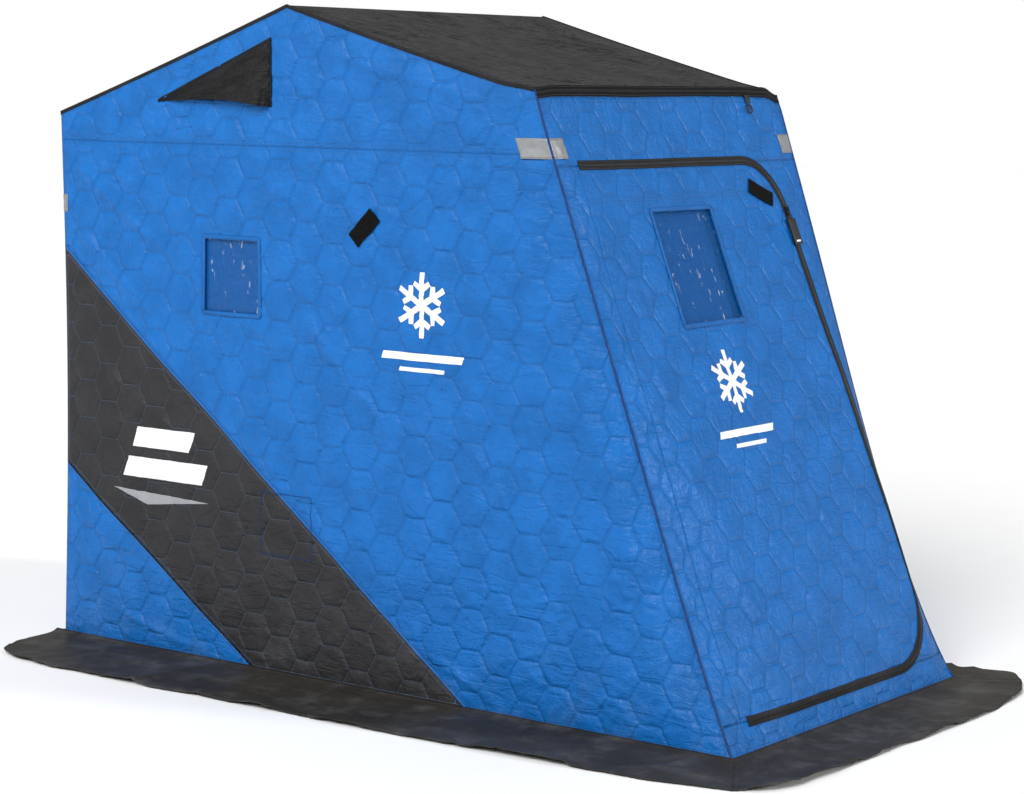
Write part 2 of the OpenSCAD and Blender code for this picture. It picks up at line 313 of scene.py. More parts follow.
def spaced(path: Sequence[Point], step: float) -> Array:
    """Evenly spaced points along a line, with its corners kept.

    Args:
        path: The line's points.
        step: Wanted distance between points.

    Returns:
        An array with a row for each point.
    """
    rows = [np.array(path[0], float)]
    for a, b in zip(path[:-1], path[1:]):
        pa = np.array(a, float)
        pb = np.array(b, float)
        count = max(1, round(float(np.linalg.norm(pb - pa)) / step))
        rows.extend(pa + (pb - pa) * (i + 1) / count for i in range(count))
    return np.array(rows)


# ---------------------------------------------------------------- meshes


def points_of(mesh: Mesh) -> Array:
    """Returns the mesh's points, one row each."""
    co = np.empty(len(mesh.vertices) * 3)
    mesh.vertices.foreach_get("co", co)
    return co.reshape(-1, 3)


def mark(mesh: Mesh, name: str, values: Array) -> None:
    """Stores a number for each point of a mesh, for its material to read."""
    layer = mesh.attributes.new(name, "FLOAT", "POINT")
    layer.data.foreach_set("value", np.asarray(values, np.float32))


def lay_pattern(mesh: Mesh, u: Array, v: Array) -> None:
    """Gives a mesh a UV map in metres, so that weave keeps its scale."""
    corners = np.empty(len(mesh.loops), int)
    mesh.loops.foreach_get("vertex_index", corners)
    layer = mesh.uv_layers.new(name="cloth")
    layer.data.foreach_set("uv", np.stack([u[corners], v[corners]], 1).astype(np.float32).ravel())


def put(mesh: Mesh, points: Array, outward: Vector) -> None:
    """Moves a mesh's points to their places and turns its faces outward.

    Args:
        mesh: The mesh.
        points: New place of each point.
        outward: The way its faces should look.
    """
    mesh.vertices.foreach_set("co", np.asarray(points, np.float32).ravel())
    mesh.update()
    normals = np.empty(len(mesh.polygons) * 3)
    mesh.polygons.foreach_get("normal", normals)
    if float((normals.reshape(-1, 3) @ np.array(outward)).sum()) < 0:
        mesh.flip_normals()
    mesh.shade_smooth()


def mesh_of(name: str, bm: BMesh) -> Mesh:
    """Returns a new mesh with the bmesh's shape, and frees the bmesh."""
    mesh = bpy.data.meshes.new(name)
    bm.to_mesh(mesh)
    bm.free()
    return mesh


def new_piece(name: str, mesh: Mesh) -> Piece:
    """Returns a new object in the scene that shows the mesh."""
    piece = bpy.data.objects.new(name, mesh)
    bpy.context.scene.collection.objects.link(piece)
    return piece


def thicken(piece: Piece, depth: float, lined: bool = False) -> None:
    """Gives a sheet its thickness, inward from its face.

    Args:
        piece: The sheet.
        depth: Thickness in metres.
        lined: True if the inner face takes the second material.
    """
    wall = piece.modifiers.new("thickness", "SOLIDIFY")
    wall.thickness = depth
    wall.offset = -1.0
    wall.use_even_offset = False
    wall.material_offset = 1 if lined else 0


def grid_piece(name: str, cells: tuple[int, int], size: Point, place: Placer, outward: Vector) -> Piece:
    """Makes a sheet from an even grid that is bent into place.

    Args:
        name: Name of the piece.
        cells: Cells along and across.
        size: Its flat length and width in metres, for the weave.
        place: Takes shares along and across from 0 to 1 and gives places.
        outward: The way its faces look.

    Returns:
        The piece.
    """
    bm = bmesh.new()
    bmesh.ops.create_grid(bm, x_segments=cells[0], y_segments=cells[1], size=0.5)
    mesh = mesh_of(name, bm)
    shares = points_of(mesh)
    a = np.clip(shares[:, 0] + 0.5, 0.0, 1.0)
    b = np.clip(shares[:, 1] + 0.5, 0.0, 1.0)
    lay_pattern(mesh, a * size[0], b * size[1])
    mark(mesh, "seam", np.minimum(b, 1.0 - b) * size[1])
    mark(mesh, "run", a * size[0])
    put(mesh, place(a, b), outward)
    return new_piece(name, mesh)


def solid_piece(name: str, build: Callable[[BMesh], None], smooth_faces: bool = True) -> Piece:
    """Makes a hard piece from bmesh operators.

    Args:
        name: Name of the piece.
        build: Adds the shape to an empty bmesh, in the row frame.
        smooth_faces: True for a rounded look.

    Returns:
        The piece.
    """
    bm = bmesh.new()
    build(bm)
    bmesh.ops.recalc_face_normals(bm, faces=bm.faces)
    for face in bm.faces:
        face.smooth = smooth_faces
    return new_piece(name, mesh_of(name, bm))


def add_block(bm: BMesh, matrix: Matrix, size: Sequence[float], edge: float, segments: int = 2) -> None:
    """Adds a block with rounded edges.

    Args:
        bm: The mesh to add to.
        matrix: Turns and places the block.
        size: Its three sizes.
        edge: Radius of its edges.
        segments: Faces across an edge.
    """
    made = bmesh.ops.create_cube(bm, size=1.0, matrix=Matrix.Diagonal((*size, 1.0)))
    edges = list({e for v in made["verts"] for e in v.link_edges})
    done = bmesh.ops.bevel(
        bm,
        geom=edges,
        offset=edge,
        offset_type="OFFSET",
        affect="EDGES",
        segments=segments,
        profile=0.5,
        material=-1,
    )
    verts = {v for f in done["faces"] for v in f.verts}
    for face in list(bm.faces):
        if any(v in verts for v in face.verts):
            verts.update(face.verts)
    bmesh.ops.transform(bm, matrix=matrix, verts=list(verts))


def add_ring(bm: BMesh, matrix: Matrix, radius: float, wire: float, steps: int = 28) -> None:
    """Adds a ring of round wire by spinning a circle.

    Args:
        bm: The mesh to add to.
        matrix: Turns and places the ring, whose own axis is z.
        radius: Radius to the middle of the wire.
        wire: Radius of the wire.
        steps: Steps of the spin.
    """
    turn = Matrix.Translation((radius, 0, 0)) @ Matrix.Rotation(math.pi / 2, 4, "X")
    made = bmesh.ops.create_circle(bm, cap_ends=False, radius=wire, segments=10, matrix=turn)
    edges = list({e for v in made["verts"] for e in v.link_edges})
    known = set(bm.verts) - set(made["verts"])
    bmesh.ops.spin(
        bm,
        geom=list(made["verts"]) + edges,
        cent=(0, 0, 0),
        axis=(0, 0, 1),
        angle=2 * math.pi,
        steps=steps,
        use_merge=True,
    )
    bmesh.ops.transform(bm, matrix=matrix, verts=[v for v in bm.verts if v not in known])


# ---------------------------------------------------------------- the shell's form


@dataclass
class ShellForm:
    """Outer form of the shelter, and how its cloth hangs slack between the bows."""

    corner_pull: float = 0.032
    corner_strip: float = 0.115
    rear_pull: float = 0.010
    roof_sag: float = 0.013
    brow_droop: float = 0.022
    brow_lift: float = 0.017
    half_w: float = field(init=False)
    rear_y: float = field(init=False)
    rear_h: float = field(init=False)
    peak_y: float = field(init=False)
    peak_h: float = field(init=False)
    brow_y: float = field(init=False)
    brow_h: float = field(init=False)
    foot_y: float = field(init=False)
    foot_h: float = field(init=False)

    def __post_init__(self) -> None:
        """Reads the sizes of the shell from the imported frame."""
        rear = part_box("rear_wall")
        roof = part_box("roof_rear")
        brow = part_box("front_header")
        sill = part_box("front_sill")
        self.half_w = roof[1].x
        self.rear_y = rear[1].y
        self.rear_h = rear[1].z
        self.peak_y = roof[0].y - 0.0003
        self.peak_h = roof[1].z
        self.brow_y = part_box("roof_front")[0].y - 0.0003
        self.brow_h = brow[1].z
        self.foot_y = sill[0].y
        self.foot_h = sill[0].z

    @property
    def slope(self) -> Vector:
        """Unit vector up the front wall."""
        return Vector((0, self.brow_y - self.foot_y, self.brow_h - self.foot_h)).normalized()

    @property
    def slope_length(self) -> float:
        """Length of the front wall from its top edge to its foot."""
        return math.hypot(self.brow_y - self.foot_y, self.brow_h - self.foot_h)

    def edge_run(self, height: float) -> float:
        """Distance of the front edge forward of the rear wall, at a height."""
        share = (self.brow_h - height) / (self.brow_h - self.foot_h)
        return self.rear_y - self.brow_y + share * (self.brow_y - self.foot_y)

    def relax(self, points: Array) -> Array:
        """Lets the cloth hang as the bows hold it.

        Args:
            points: Places on the straight shell, one row each.

        Returns:
            The same places on the slack shell.
        """
        x, y, z = points.T
        side = np.sign(x)
        fall = np.clip((self.brow_h - z) / (self.brow_h - self.foot_h), 0.0, 1.0)
        bow = np.clip(np.sin(math.pi * fall**2.11), 0.0, 1.0) ** 0.6
        edge_y = self.brow_y + (self.foot_y - self.brow_y) * fall
        side_gap = np.clip(y - edge_y, 0.0, None) * 0.93
        front_gap = np.clip(self.half_w - np.abs(x), 0.0, None)
        reach = np.where(x < 0, 0.05 + 0.23 * smooth((fall - 0.36) / 0.45), 0.08)
        pull = self.corner_pull * np.where(x < 0, 1.25, 1.0) * bow
        pull = pull * slack(side_gap / self.corner_strip) * slack(front_gap / reach)
        rear_gap = np.clip(self.rear_y - y, 0.0, None)
        rise = np.sin(math.pi * np.clip(z / self.rear_h, 0.0, 1.0))
        back = self.rear_pull * rise * slack(rear_gap / 0.16) * slack(front_gap / 0.22)
        rear_share = (self.rear_y - y) / (self.rear_y - self.peak_y)
        front_share = (self.peak_y - y) / (self.peak_y - self.brow_y)
        on_rear = y > self.peak_y
        share = np.clip(np.where(on_rear, rear_share, front_share), 0.0, 1.0)
        low = np.where(on_rear, self.rear_h, self.brow_h)
        climb = np.where(on_rear, share, 1.0 - share)
        below = np.clip(low + (self.peak_h - low) * climb - z, 0.0, None)
        cross = 0.3 + 0.7 * np.cos(math.pi / 2 * np.clip(x / self.half_w, -1.0, 1.0)) ** 2
        sag = self.roof_sag * np.sin(math.pi * share) * cross * np.exp(-below / 0.13)
        brow_gap = (y - self.brow_y) ** 2 + (z - self.brow_h) ** 2
        away = np.sqrt(front_gap**2 + brow_gap)
        droop = self.brow_droop * np.exp(-((away / 0.045) ** 2)) * np.where(x > 0, 1.0, 0.3)
        droop = droop - self.brow_lift * np.exp(-brow_gap / 0.06**2)
        moved = points.copy()
        moved[:, 0] -= side * (pull + 0.7 * back)
        moved[:, 1] += pull - back
        moved[:, 2] -= sag + droop
        return moved


@dataclass(frozen=True)
class Crease:
    """One long crease or fold in a wall."""

    start: Point
    end: Point
    width: float
    height: float

    def relief(self, u: Array, v: Array) -> Array:
        """Height of the crease at each point."""
        du = self.end[0] - self.start[0]
        dv = self.end[1] - self.start[1]
        length = math.hypot(du, dv)
        t = ((u - self.start[0]) * du + (v - self.start[1]) * dv) / length**2
        gap = ((u - self.start[0]) * dv - (v - self.start[1]) * du) / length
        gap = gap + 0.006 * np.sin(7.0 * t + 3.0 * self.start[0])
        fade = smooth(t / 0.22) * smooth((1.0 - t) / 0.3)
        return self.height * fade * np.exp(-((gap / self.width) ** 2))


@dataclass(frozen=True)
class Face:
    """A flat side of the shell, on which cloth and trims are laid."""

    form: ShellForm
    origin: Vector
    across: Vector
    up: Vector
    outward: Vector
    outline: tuple[Point, ...]
    fold_turns: tuple[float, ...] = (-35.0, 60.0)
    creases: tuple[Crease, ...] = ()
    seed: int = 1
    quilt_height: float = 0.0029
    fold_height: float = 0.0036
    wave: float = 0.005

    def broad(self, u: Array, v: Array) -> Array:
        """Slow waves of the whole wall, which die away at the shell's edges."""
        gap, _ = line_distance(u, v, [closed(self.outline)])
        hold = 1.0 - np.exp(-gap / 0.07)
        wave = soft_noise(u / 0.31 + 3.0, v / 0.27, self.seed + 40)
        wave = wave + 0.5 * soft_noise(u / 0.15, v / 0.17 + 5.0, self.seed + 41)
        return self.wave * hold * wave

    def texture(self, u: Array, v: Array, quilted: bool = True) -> Array:
        """Quilting puffs, wrinkles and creases.

        Args:
            u: First coordinate on the face.
            v: Second coordinate on the face.
            quilted: False for plain cloth.

        Returns:
            Height at each point.
        """
        height = np.zeros(u.shape)
        if quilted:
            distance, cu, cv = hex_cells(u, v)
            plump = 1.0 + 0.3 * soft_noise(cu * 31.7, cv * 29.3, self.seed + 5)
            tilt = soft_noise(cu * 53.1, cv * 47.9, self.seed + 6) * (u - cu)
            height += self.quilt_height * plump * (1.0 - np.exp(-distance / 0.007))
            height += 0.02 * tilt * smooth(distance / 0.02)
        for i, turn in enumerate(self.fold_turns):
            ridge = folds(u, v, turn, (0.15, 0.048), self.seed + 10 * i)
            height += self.fold_height * ridge
        height += 0.0004 * soft_noise(u / 0.017, v / 0.019, self.seed + 70)
        for crease in self.creases:
            height += crease.relief(u, v)
        return height

    def sewn_height(self, u: Array, v: Array, seam: Array, quilted: bool = True) -> Array:
        """Height of sewn cloth, which lies flat along its seams.

        Args:
            u: First coordinate on the face.
            v: Second coordinate on the face.
            seam: Distance to the nearest seam.
            quilted: False for plain cloth.

        Returns:
            Height at each point.
        """
        free = 1.0 - np.exp(-((seam / 0.019) ** 2))
        height = self.texture(u, v, quilted) * free
        height += 0.0012 * np.exp(-(((seam - 0.006) / 0.005) ** 2))
        pucker = folds(u, v, 0.0, (0.018, 0.05), self.seed + 90) * np.exp(-seam / 0.035)
        return height + 0.0020 * free * pucker

    def place(self, u: Array, v: Array, lift: Array | float) -> Array:
        """Puts points of the face into the row frame.

        Args:
            u: First coordinate on the face.
            v: Second coordinate on the face.
            lift: Height above the slack shell.

        Returns:
            One row for each point.
        """
        rest = (
            np.array(self.origin)
            + np.outer(u, np.array(self.across))
            + np.outer(v, np.array(self.up))
        )
        level = np.broadcast_to(np.asarray(lift, float), u.shape) + self.broad(u, v)
        return self.form.relax(rest) + np.outer(level, np.array(self.outward))

    def spot(self, u: float, v: float, lift: float, turn: float = 0.0) -> Matrix:
        """Frame of a hard part that is fixed to the cloth.

        Args:
            u: First coordinate on the face.
            v: Second coordinate on the face.
            lift: Height above the slack shell.
            turn: Turn about the outward direction, in degrees.

        Returns:
            A matrix whose x runs across, y up and z outward.
        """
        place = self.place(np.array([u]), np.array([v]), lift)[0]
        x = self.up.cross(self.outward)
        turned = Matrix((x, self.up, self.outward)).transposed().to_4x4()
        return Matrix.Translation(place) @ turned @ Matrix.Rotation(math.radians(turn), 4, "Z")


@dataclass(frozen=True)
class Cut:
    """One piece of cloth as it is cut, in a face's coordinates."""

    outline: tuple[Point, ...]
    holes: tuple[tuple[Point, ...], ...] = ()
    seams: tuple[tuple[Point, ...], ...] | None = None

    def sewn(self) -> list[Sequence[Point]]:
        """Lines where this piece is sewn: its outline unless others are named, and its holes."""
        lines = [closed(self.outline)] if self.seams is None else list(self.seams)
        return lines + [closed(hole) for hole in self.holes]


def lattice(outline: Sequence[Point], edge: float) -> BMesh:
    """Even triangles that cover an outline and follow the quilting lines.

    Args:
        outline: What to cover.
        edge: Length of a triangle's side.

    Returns:
        A flat bmesh.
    """
    row = edge * math.sqrt(0.75)
    us = [p[0] for p in outline]
    vs = [p[1] for p in outline]
    i0 = math.floor(min(us) / edge) - 2
    i1 = math.ceil(max(us) / edge) + 2
    j0 = math.floor(min(vs) / row) - 2
    j1 = math.ceil(max(vs) / row) + 2
    bm = bmesh.new()
    bmesh.ops.create_grid(bm, x_segments=i1 - i0, y_segments=j1 - j0, size=0.5)
    for vert in bm.verts:
        i = i0 + round((vert.co.x + 0.5) * (i1 - i0))
        j = j0 + round((vert.co.y + 0.5) * (j1 - j0))
        vert.co = ((i + 0.5 * (j % 2)) * edge, j * row, 0.0)
    bmesh.ops.triangulate(bm, faces=bm.faces, quad_method="SHORT_EDGE")
    return bm


def middles(faces: Sequence[bmesh.types.BMFace]) -> tuple[Array, Array]:
    """Returns the flat middles of faces."""
    rows = np.array([face.calc_center_median()[:2] for face in faces]).reshape(-1, 2)
    return rows[:, 0], rows[:, 1]


def carve(bm: BMesh, outline: Sequence[Point], edge: float, keep_inside: bool = True) -> None:
    """Cuts a flat mesh along an outline and drops the waste.

    Args:
        bm: The flat mesh.
        outline: The cutting line.
        edge: Usual length of the mesh's edges.
        keep_inside: False to cut a hole.
    """
    faces = list(bm.faces)
    u, v = middles(faces)
    gap, _ = line_distance(u, v, [closed(outline)])
    within = inside(u, v, outline)
    waste = (gap > 2.5 * edge) & (within != keep_inside)
    near = {f for f, g in zip(faces, gap) if g <= 2.5 * edge}
    bmesh.ops.delete(bm, geom=[f for f, w in zip(faces, waste) if w], context="FACES")
    ring = closed(outline)
    for a, b in zip(ring[:-1], ring[1:]):
        pool = [f for f in near if f.is_valid]
        u, v = middles(pool)
        gap, _ = line_distance(u, v, [(a, b)])
        chosen = [f for f, g in zip(pool, gap) if g < 1.7 * edge]
        if not chosen:
            continue
        edges = {e for f in chosen for e in f.edges}
        geom = chosen + list(edges) + list({p for f in chosen for p in f.verts})
        done = bmesh.ops.bisect_plane(
            bm,
            geom=geom,
            dist=1e-5,
            plane_co=(a[0], a[1], 0),
            plane_no=(b[1] - a[1], a[0] - b[0], 0),
        )
        near = set(pool) - set(chosen)
        near.update(g for g in done["geom"] if isinstance(g, bmesh.types.BMFace))
    pool = [f for f in near if f.is_valid]
    u, v = middles(pool)
    within = inside(u, v, outline)
    waste = [f for f, w in zip(pool, within) if w != keep_inside]
    bmesh.ops.delete(bm, geom=waste, context="FACES")


def cloth_piece(
    name: str, face: Face, cut: Cut, quilted: bool = True, edge: float = CLOTH_EDGE, lift: float = 0.0
) -> Piece:
    """Makes one wall cloth, with its quilting, wrinkles and flattened seams.

    Args:
        name: Name of the piece.
        face: The side of the shell that it lies on.
        cut: Its outline, holes and seams.
        quilted: False for plain cloth.
        edge: Length of its triangles' sides.
        lift: Height above the shell.

    Returns:
        The piece.
    """
    bm = lattice(cut.outline, edge)
    carve(bm, cut.outline, edge)
    for hole in cut.holes:
        carve(bm, hole, edge, keep_inside=False)
    bmesh.ops.remove_doubles(bm, verts=bm.verts, dist=0.0012)
    bmesh.ops.triangulate(bm, faces=bm.faces)
    mesh = mesh_of(name, bm)
    flat = points_of(mesh)
    u = flat[:, 0]
    v = flat[:, 1]
    seam, run = line_distance(u, v, cut.sewn())
    lay_pattern(mesh, u, v)
    mark(mesh, "quilt", hex_cells(u, v)[0])
    mark(mesh, "seam", seam)
    mark(mesh, "run", run)
    height = face.sewn_height(u, v, seam, quilted)
    put(mesh, face.place(u, v, height + lift), face.outward)
    return new_piece(name, mesh)


def trim_piece(
    name: str,
    face: Face,
    path: Sequence[Point],
    width: float,
    lift: float,
    profile: Profile = Profile.FLAT,
    step: float = 0.012,
    thick: float = 0.001,
    follow: float = 0.0,
) -> Piece:
    """Makes a tape, piping, zip coil or print that runs along a line on a face.

    Args:
        name: Name of the piece.
        face: The side of the shell that it lies on.
        path: The line, in the face's coordinates.
        width: Its width.
        lift: Height of its upper surface above the shell.
        profile: Its cross-section.
        step: Distance between its cross-sections.
        thick: Thickness.
        follow: 1 to follow the quilting under it, 0 to span it.

    Returns:
        The piece.
    """
    rows = spaced(path, step)
    runs = np.concatenate([[0.0], np.cumsum(np.linalg.norm(np.diff(rows, axis=0), axis=1))])
    ring = bool(np.allclose(rows[0], rows[-1]))
    legs = np.diff(rows, axis=0)
    legs /= np.linalg.norm(legs, axis=1)[:, None]
    before = np.vstack([legs[-1] if ring else legs[0], legs])
    after = np.vstack([legs, legs[0] if ring else legs[-1]])
    aim = before + after
    aim /= np.linalg.norm(aim, axis=1)[:, None]
    stretch = 1.0 / np.clip((aim * after).sum(1), 0.5, 1.0)
    count = len(rows) - 1

    cells: dict[str, Array] = {}

    def place(a: Array, b: Array) -> Array:
        """Places the trim's grid."""
        at = np.rint(a * count).astype(int)
        off = (b - 0.5) * width * stretch[at]
        u = rows[at, 0] - aim[at, 1] * off
        v = rows[at, 1] + aim[at, 0] * off
        height = np.full(u.shape, lift)
        cells["quilt"] = hex_cells(u, v)[0]
        if profile is Profile.ROUND:
            height += width * 0.45 * np.sqrt(np.clip(1.0 - (2 * b - 1) ** 2, 0.0, 1.0)) - width * 0.2
        if profile is Profile.COIL:
            tooth = 0.5 + 0.5 * np.cos(2 * math.pi * runs[at] / 0.003)
            height += np.clip(1.0 - (2 * b - 1) ** 2, 0.0, 1.0) * (0.0012 + 0.0009 * tooth)
        if follow:
            height += follow * face.texture(u, v)
        return face.place(u, v, height)

    across = 6 if profile is not Profile.FLAT else max(2, min(40, round(width / 0.008)))
    piece = grid_piece(name, (count, across), (float(runs[-1]), width), place, face.outward)
    mark(piece.data, "quilt", cells["quilt"])
    thicken(piece, thick)
    return piece


# ---------------------------------------------------------------- finishes


def tone(red: int, green: int, blue: int) -> Colour:
    """Returns the linear colour of 8-bit display values."""
    shares = [c / 255.0 for c in (red, green, blue)]
    return tuple(s / 12.92 if s <= 0.04045 else ((s + 0.055) / 1.055) ** 2.4 for s in shares)


class Graph:
    """Adds nodes to a node tree and joins them."""

    def __init__(self, tree: bpy.types.NodeTree) -> None:
        """Keeps the tree to work on."""
        self.tree = tree

    def node(self, kind: str, inputs: dict | None = None, **settings: object) -> Node:
        """Adds a node.

        Args:
            kind: Its type.
            inputs: Sockets to join, or values to set, by input name or number.
            settings: Properties of the node.

        Returns:
            The node.
        """
        made = self.tree.nodes.new(kind)
        made.location = (len(self.tree.nodes) * 170, 0)
        for key, value in settings.items():
            setattr(made, key, value)
        for key, value in (inputs or {}).items():
            if isinstance(value, Socket):
                self.tree.links.new(value, made.inputs[key])
            elif isinstance(value, tuple) and len(value) == 3 and made.inputs[key].type == "RGBA":
                made.inputs[key].default_value = (*value, 1.0)
            else:
                made.inputs[key].default_value = value
        return made

    def math(self, operation: str, *values: object, clamp: bool = False) -> Socket:
        """Returns the result of a Math node."""
        inputs = dict(enumerate(values))
        return self.node("ShaderNodeMath", inputs, operation=operation, use_clamp=clamp).outputs[0]

    def span(
        self, value: object, low: float, high: float, out_low: float = 0.0, out_high: float = 1.0
    ) -> Socket:
        """Returns a value eased from one span to another."""
        inputs = {0: value, 1: low, 2: high, 3: out_low, 4: out_high}
        return self.node("ShaderNodeMapRange", inputs, interpolation_type="SMOOTHSTEP").outputs[0]

    def blend(self, share: object, first: object, second: object, kind: str = "MIX") -> Socket:
        """Returns a mix of two colours."""
        inputs = {0: share, 6: first, 7: second}
        return self.node("ShaderNodeMix", inputs, data_type="RGBA", blend_type=kind).outputs[2]

    def noise(
        self, vector: object, scale: float, detail: float = 3.0, rough: float = 0.5, warp: float = 0.0
    ) -> Socket:
        """Returns a noise value."""
        inputs = {"Vector": vector, "Scale": scale, "Detail": detail, "Roughness": rough, "Distortion": warp}
        return self.node("ShaderNodeTexNoise", inputs).outputs[0]

    def attribute(self, name: str) -> Socket:
        """Returns a number that is stored on the mesh."""
        return self.node("ShaderNodeAttribute", attribute_name=name).outputs["Fac"]

    def cloth_map(self) -> Socket:
        """Returns the place on the flat cloth."""
        return self.node("ShaderNodeUVMap", uv_map="cloth").outputs[0]

    def group(self, tree: bpy.types.NodeTree, *values: object) -> Node:
        """Places a shared effect with its inputs in order, and returns its node."""
        return self.node("ShaderNodeGroup", dict(enumerate(values)), node_tree=tree)

    def join(self, node: Node, **sources: Socket) -> None:
        """Joins sockets to a node's inputs, named with _ for a space."""
        for key, source in sources.items():
            self.tree.links.new(source, node.inputs[key.replace("_", " ")])

    def finish(self, shader: Node, colour: Socket, rough: Socket, height: Socket, depth: float = 1.0) -> None:
        """Joins a finish to its shader.

        Args:
            shader: The Principled shader.
            colour: Its colour.
            rough: Its roughness.
            height: Height of its surface.
            depth: How many metres a height of 1 is.
        """
        bump = self.node("ShaderNodeBump", {"Height": height, "Distance": depth})
        self.join(shader, Base_Color=colour, Roughness=rough, Normal=bump.outputs[0])

    def stretch(self, vector: object, scale: tuple[float, float, float], turn: float = 0.0) -> Socket:
        """Returns a vector turned and scaled by a Mapping node."""
        inputs = {"Vector": vector, "Rotation": (0.0, 0.0, math.radians(turn)), "Scale": scale}
        return self.node("ShaderNodeMapping", inputs).outputs[0]


class Effects:
    """Shader groups that several finishes share, each built once."""

    def __init__(self) -> None:
        """Builds the groups."""
        self.weave = self.build_weave()
        self.stitches = self.build_stitches()
        self.rumple = self.build_rumple()
        self.wear = self.build_wear()

    @staticmethod
    def start(
        name: str, inputs: dict[str, tuple[str, object]], outputs: Sequence[str]
    ) -> tuple[Graph, Node, Node]:
        """Starts a group.

        Args:
            name: Name of the group.
            inputs: Type and value of each input.
            outputs: Names of its number outputs.

        Returns:
            The graph, the group's input node and its output node.
        """
        tree = bpy.data.node_groups.new(name, "ShaderNodeTree")
        for key, (kind, value) in inputs.items():
            socket = tree.interface.new_socket(key, in_out="INPUT", socket_type=kind)
            if kind == "NodeSocketFloat":
                socket.default_value = value
        for key in outputs:
            tree.interface.new_socket(key, in_out="OUTPUT", socket_type="NodeSocketFloat")
        graph = Graph(tree)
        return graph, graph.node("NodeGroupInput"), graph.node("NodeGroupOutput")

    def build_weave(self) -> bpy.types.NodeTree:
        """Plain weave of fine threads, as a height and a tone."""
        inputs = {"Position": ("NodeSocketVector", None), "Thread": ("NodeSocketFloat", 0.0006)}
        graph, given, out = self.start("plain weave", inputs, ("Height", "Tone"))
        split = graph.node("ShaderNodeSeparateXYZ", {0: given.outputs[0]})
        turns = graph.math("DIVIDE", math.pi, given.outputs[1])
        warp = graph.math("SINE", graph.math("MULTIPLY", split.outputs[0], turns))
        weft = graph.math("SINE", graph.math("MULTIPLY", split.outputs[1], turns))
        height = graph.math("MULTIPLY", warp, weft)
        slub = graph.noise(graph.stretch(given.outputs[0], (60.0, 900.0, 1.0)), 1.0, 2.0)
        slub_up = graph.noise(graph.stretch(given.outputs[0], (900.0, 60.0, 1.0)), 1.0, 2.0)
        mixed = graph.math("MULTIPLY_ADD", graph.math("ADD", slub, slub_up), 0.8, height)
        level = graph.math("MULTIPLY_ADD", height, 0.5, 0.5)
        graph.join(out, Height=level, Tone=graph.math("MULTIPLY_ADD", mixed, 0.3, 0.2, clamp=True))
        return graph.tree

    def build_stitches(self) -> bpy.types.NodeTree:
        """A row of thread stitches at an offset from a seam."""
        inputs = {
            "Distance": ("NodeSocketFloat", 1.0),
            "Run": ("NodeSocketFloat", 0.0),
            "Offset": ("NodeSocketFloat", 0.003),
            "Width": ("NodeSocketFloat", 0.0008),
            "Pitch": ("NodeSocketFloat", 0.004),
        }
        graph, given, out = self.start("stitch row", inputs, ("Mask", "Groove"))
        gap = graph.math("ABSOLUTE", graph.math("SUBTRACT", given.outputs[0], given.outputs[2]))
        share = graph.math("DIVIDE", gap, given.outputs[3])
        line = graph.span(share, 1.0, 0.45)
        beat = graph.math("DIVIDE", graph.math("MULTIPLY", given.outputs[1], 2 * math.pi), given.outputs[4])
        dash = graph.span(graph.math("SINE", beat), -0.75, -0.35)
        graph.join(out, Mask=graph.math("MULTIPLY", line, dash), Groove=graph.span(share, 3.2, 0.0))
        return graph.tree

    def build_rumple(self) -> bpy.types.NodeTree:
        """Small wrinkles of coated cloth, as a height and a tone."""
        inputs = {"Position": ("NodeSocketVector", None), "Size": ("NodeSocketFloat", 0.03)}
        graph, given, out = self.start("rumpled cloth", inputs, ("Height", "Tone"))
        scale = graph.math("DIVIDE", 1.0, given.outputs[1])
        inputs = {0: given.outputs[0], 3: scale}
        scaled = graph.node("ShaderNodeVectorMath", inputs, operation="SCALE").outputs[0]
        first = graph.noise(graph.stretch(scaled, (0.45, 1.5, 1.0), 35.0), 1.0, 4.0, 0.55, 0.6)
        second = graph.noise(graph.stretch(scaled, (1.3, 0.5, 1.0), 20.0), 1.3, 4.0, 0.55, 0.4)
        ridge = graph.math("ABSOLUTE", graph.math("SUBTRACT", first, 0.5))
        other = graph.math("ABSOLUTE", graph.math("SUBTRACT", second, 0.5))
        sharp = graph.span(ridge, 0.15, 0.0)
        cross = graph.span(other, 0.11, 0.0)
        height = graph.math("ADD", graph.math("MULTIPLY", sharp, 0.6), graph.math("MULTIPLY", cross, 0.4))
        height = graph.math("MULTIPLY_ADD", first, 0.8, height)
        graph.join(out, Height=height, Tone=graph.noise(scaled, 0.35, 5.0, 0.6))
        return graph.tree

    def build_wear(self) -> bpy.types.NodeTree:
        """Pale dust low on the shelter and rubbed patches, as two masks."""
        inputs = {"Place": ("NodeSocketVector", None), "Amount": ("NodeSocketFloat", 0.5)}
        graph, given, out = self.start("dust and rubbing", inputs, ("Dust", "Rub"))
        split = graph.node("ShaderNodeSeparateXYZ", {0: given.outputs[0]})
        low = graph.span(split.outputs[2], 0.35, 0.0)
        cloud = graph.span(graph.noise(given.outputs[0], 9.0, 6.0, 0.65), 0.45, 0.75)
        dust = graph.math("MULTIPLY", graph.math("MULTIPLY", low, cloud), given.outputs[1])
        rub = graph.span(graph.noise(given.outputs[0], 38.0, 5.0, 0.7), 0.58, 0.8)
        graph.join(out, Dust=dust, Rub=graph.math("MULTIPLY", rub, given.outputs[1]))
        return graph.tree


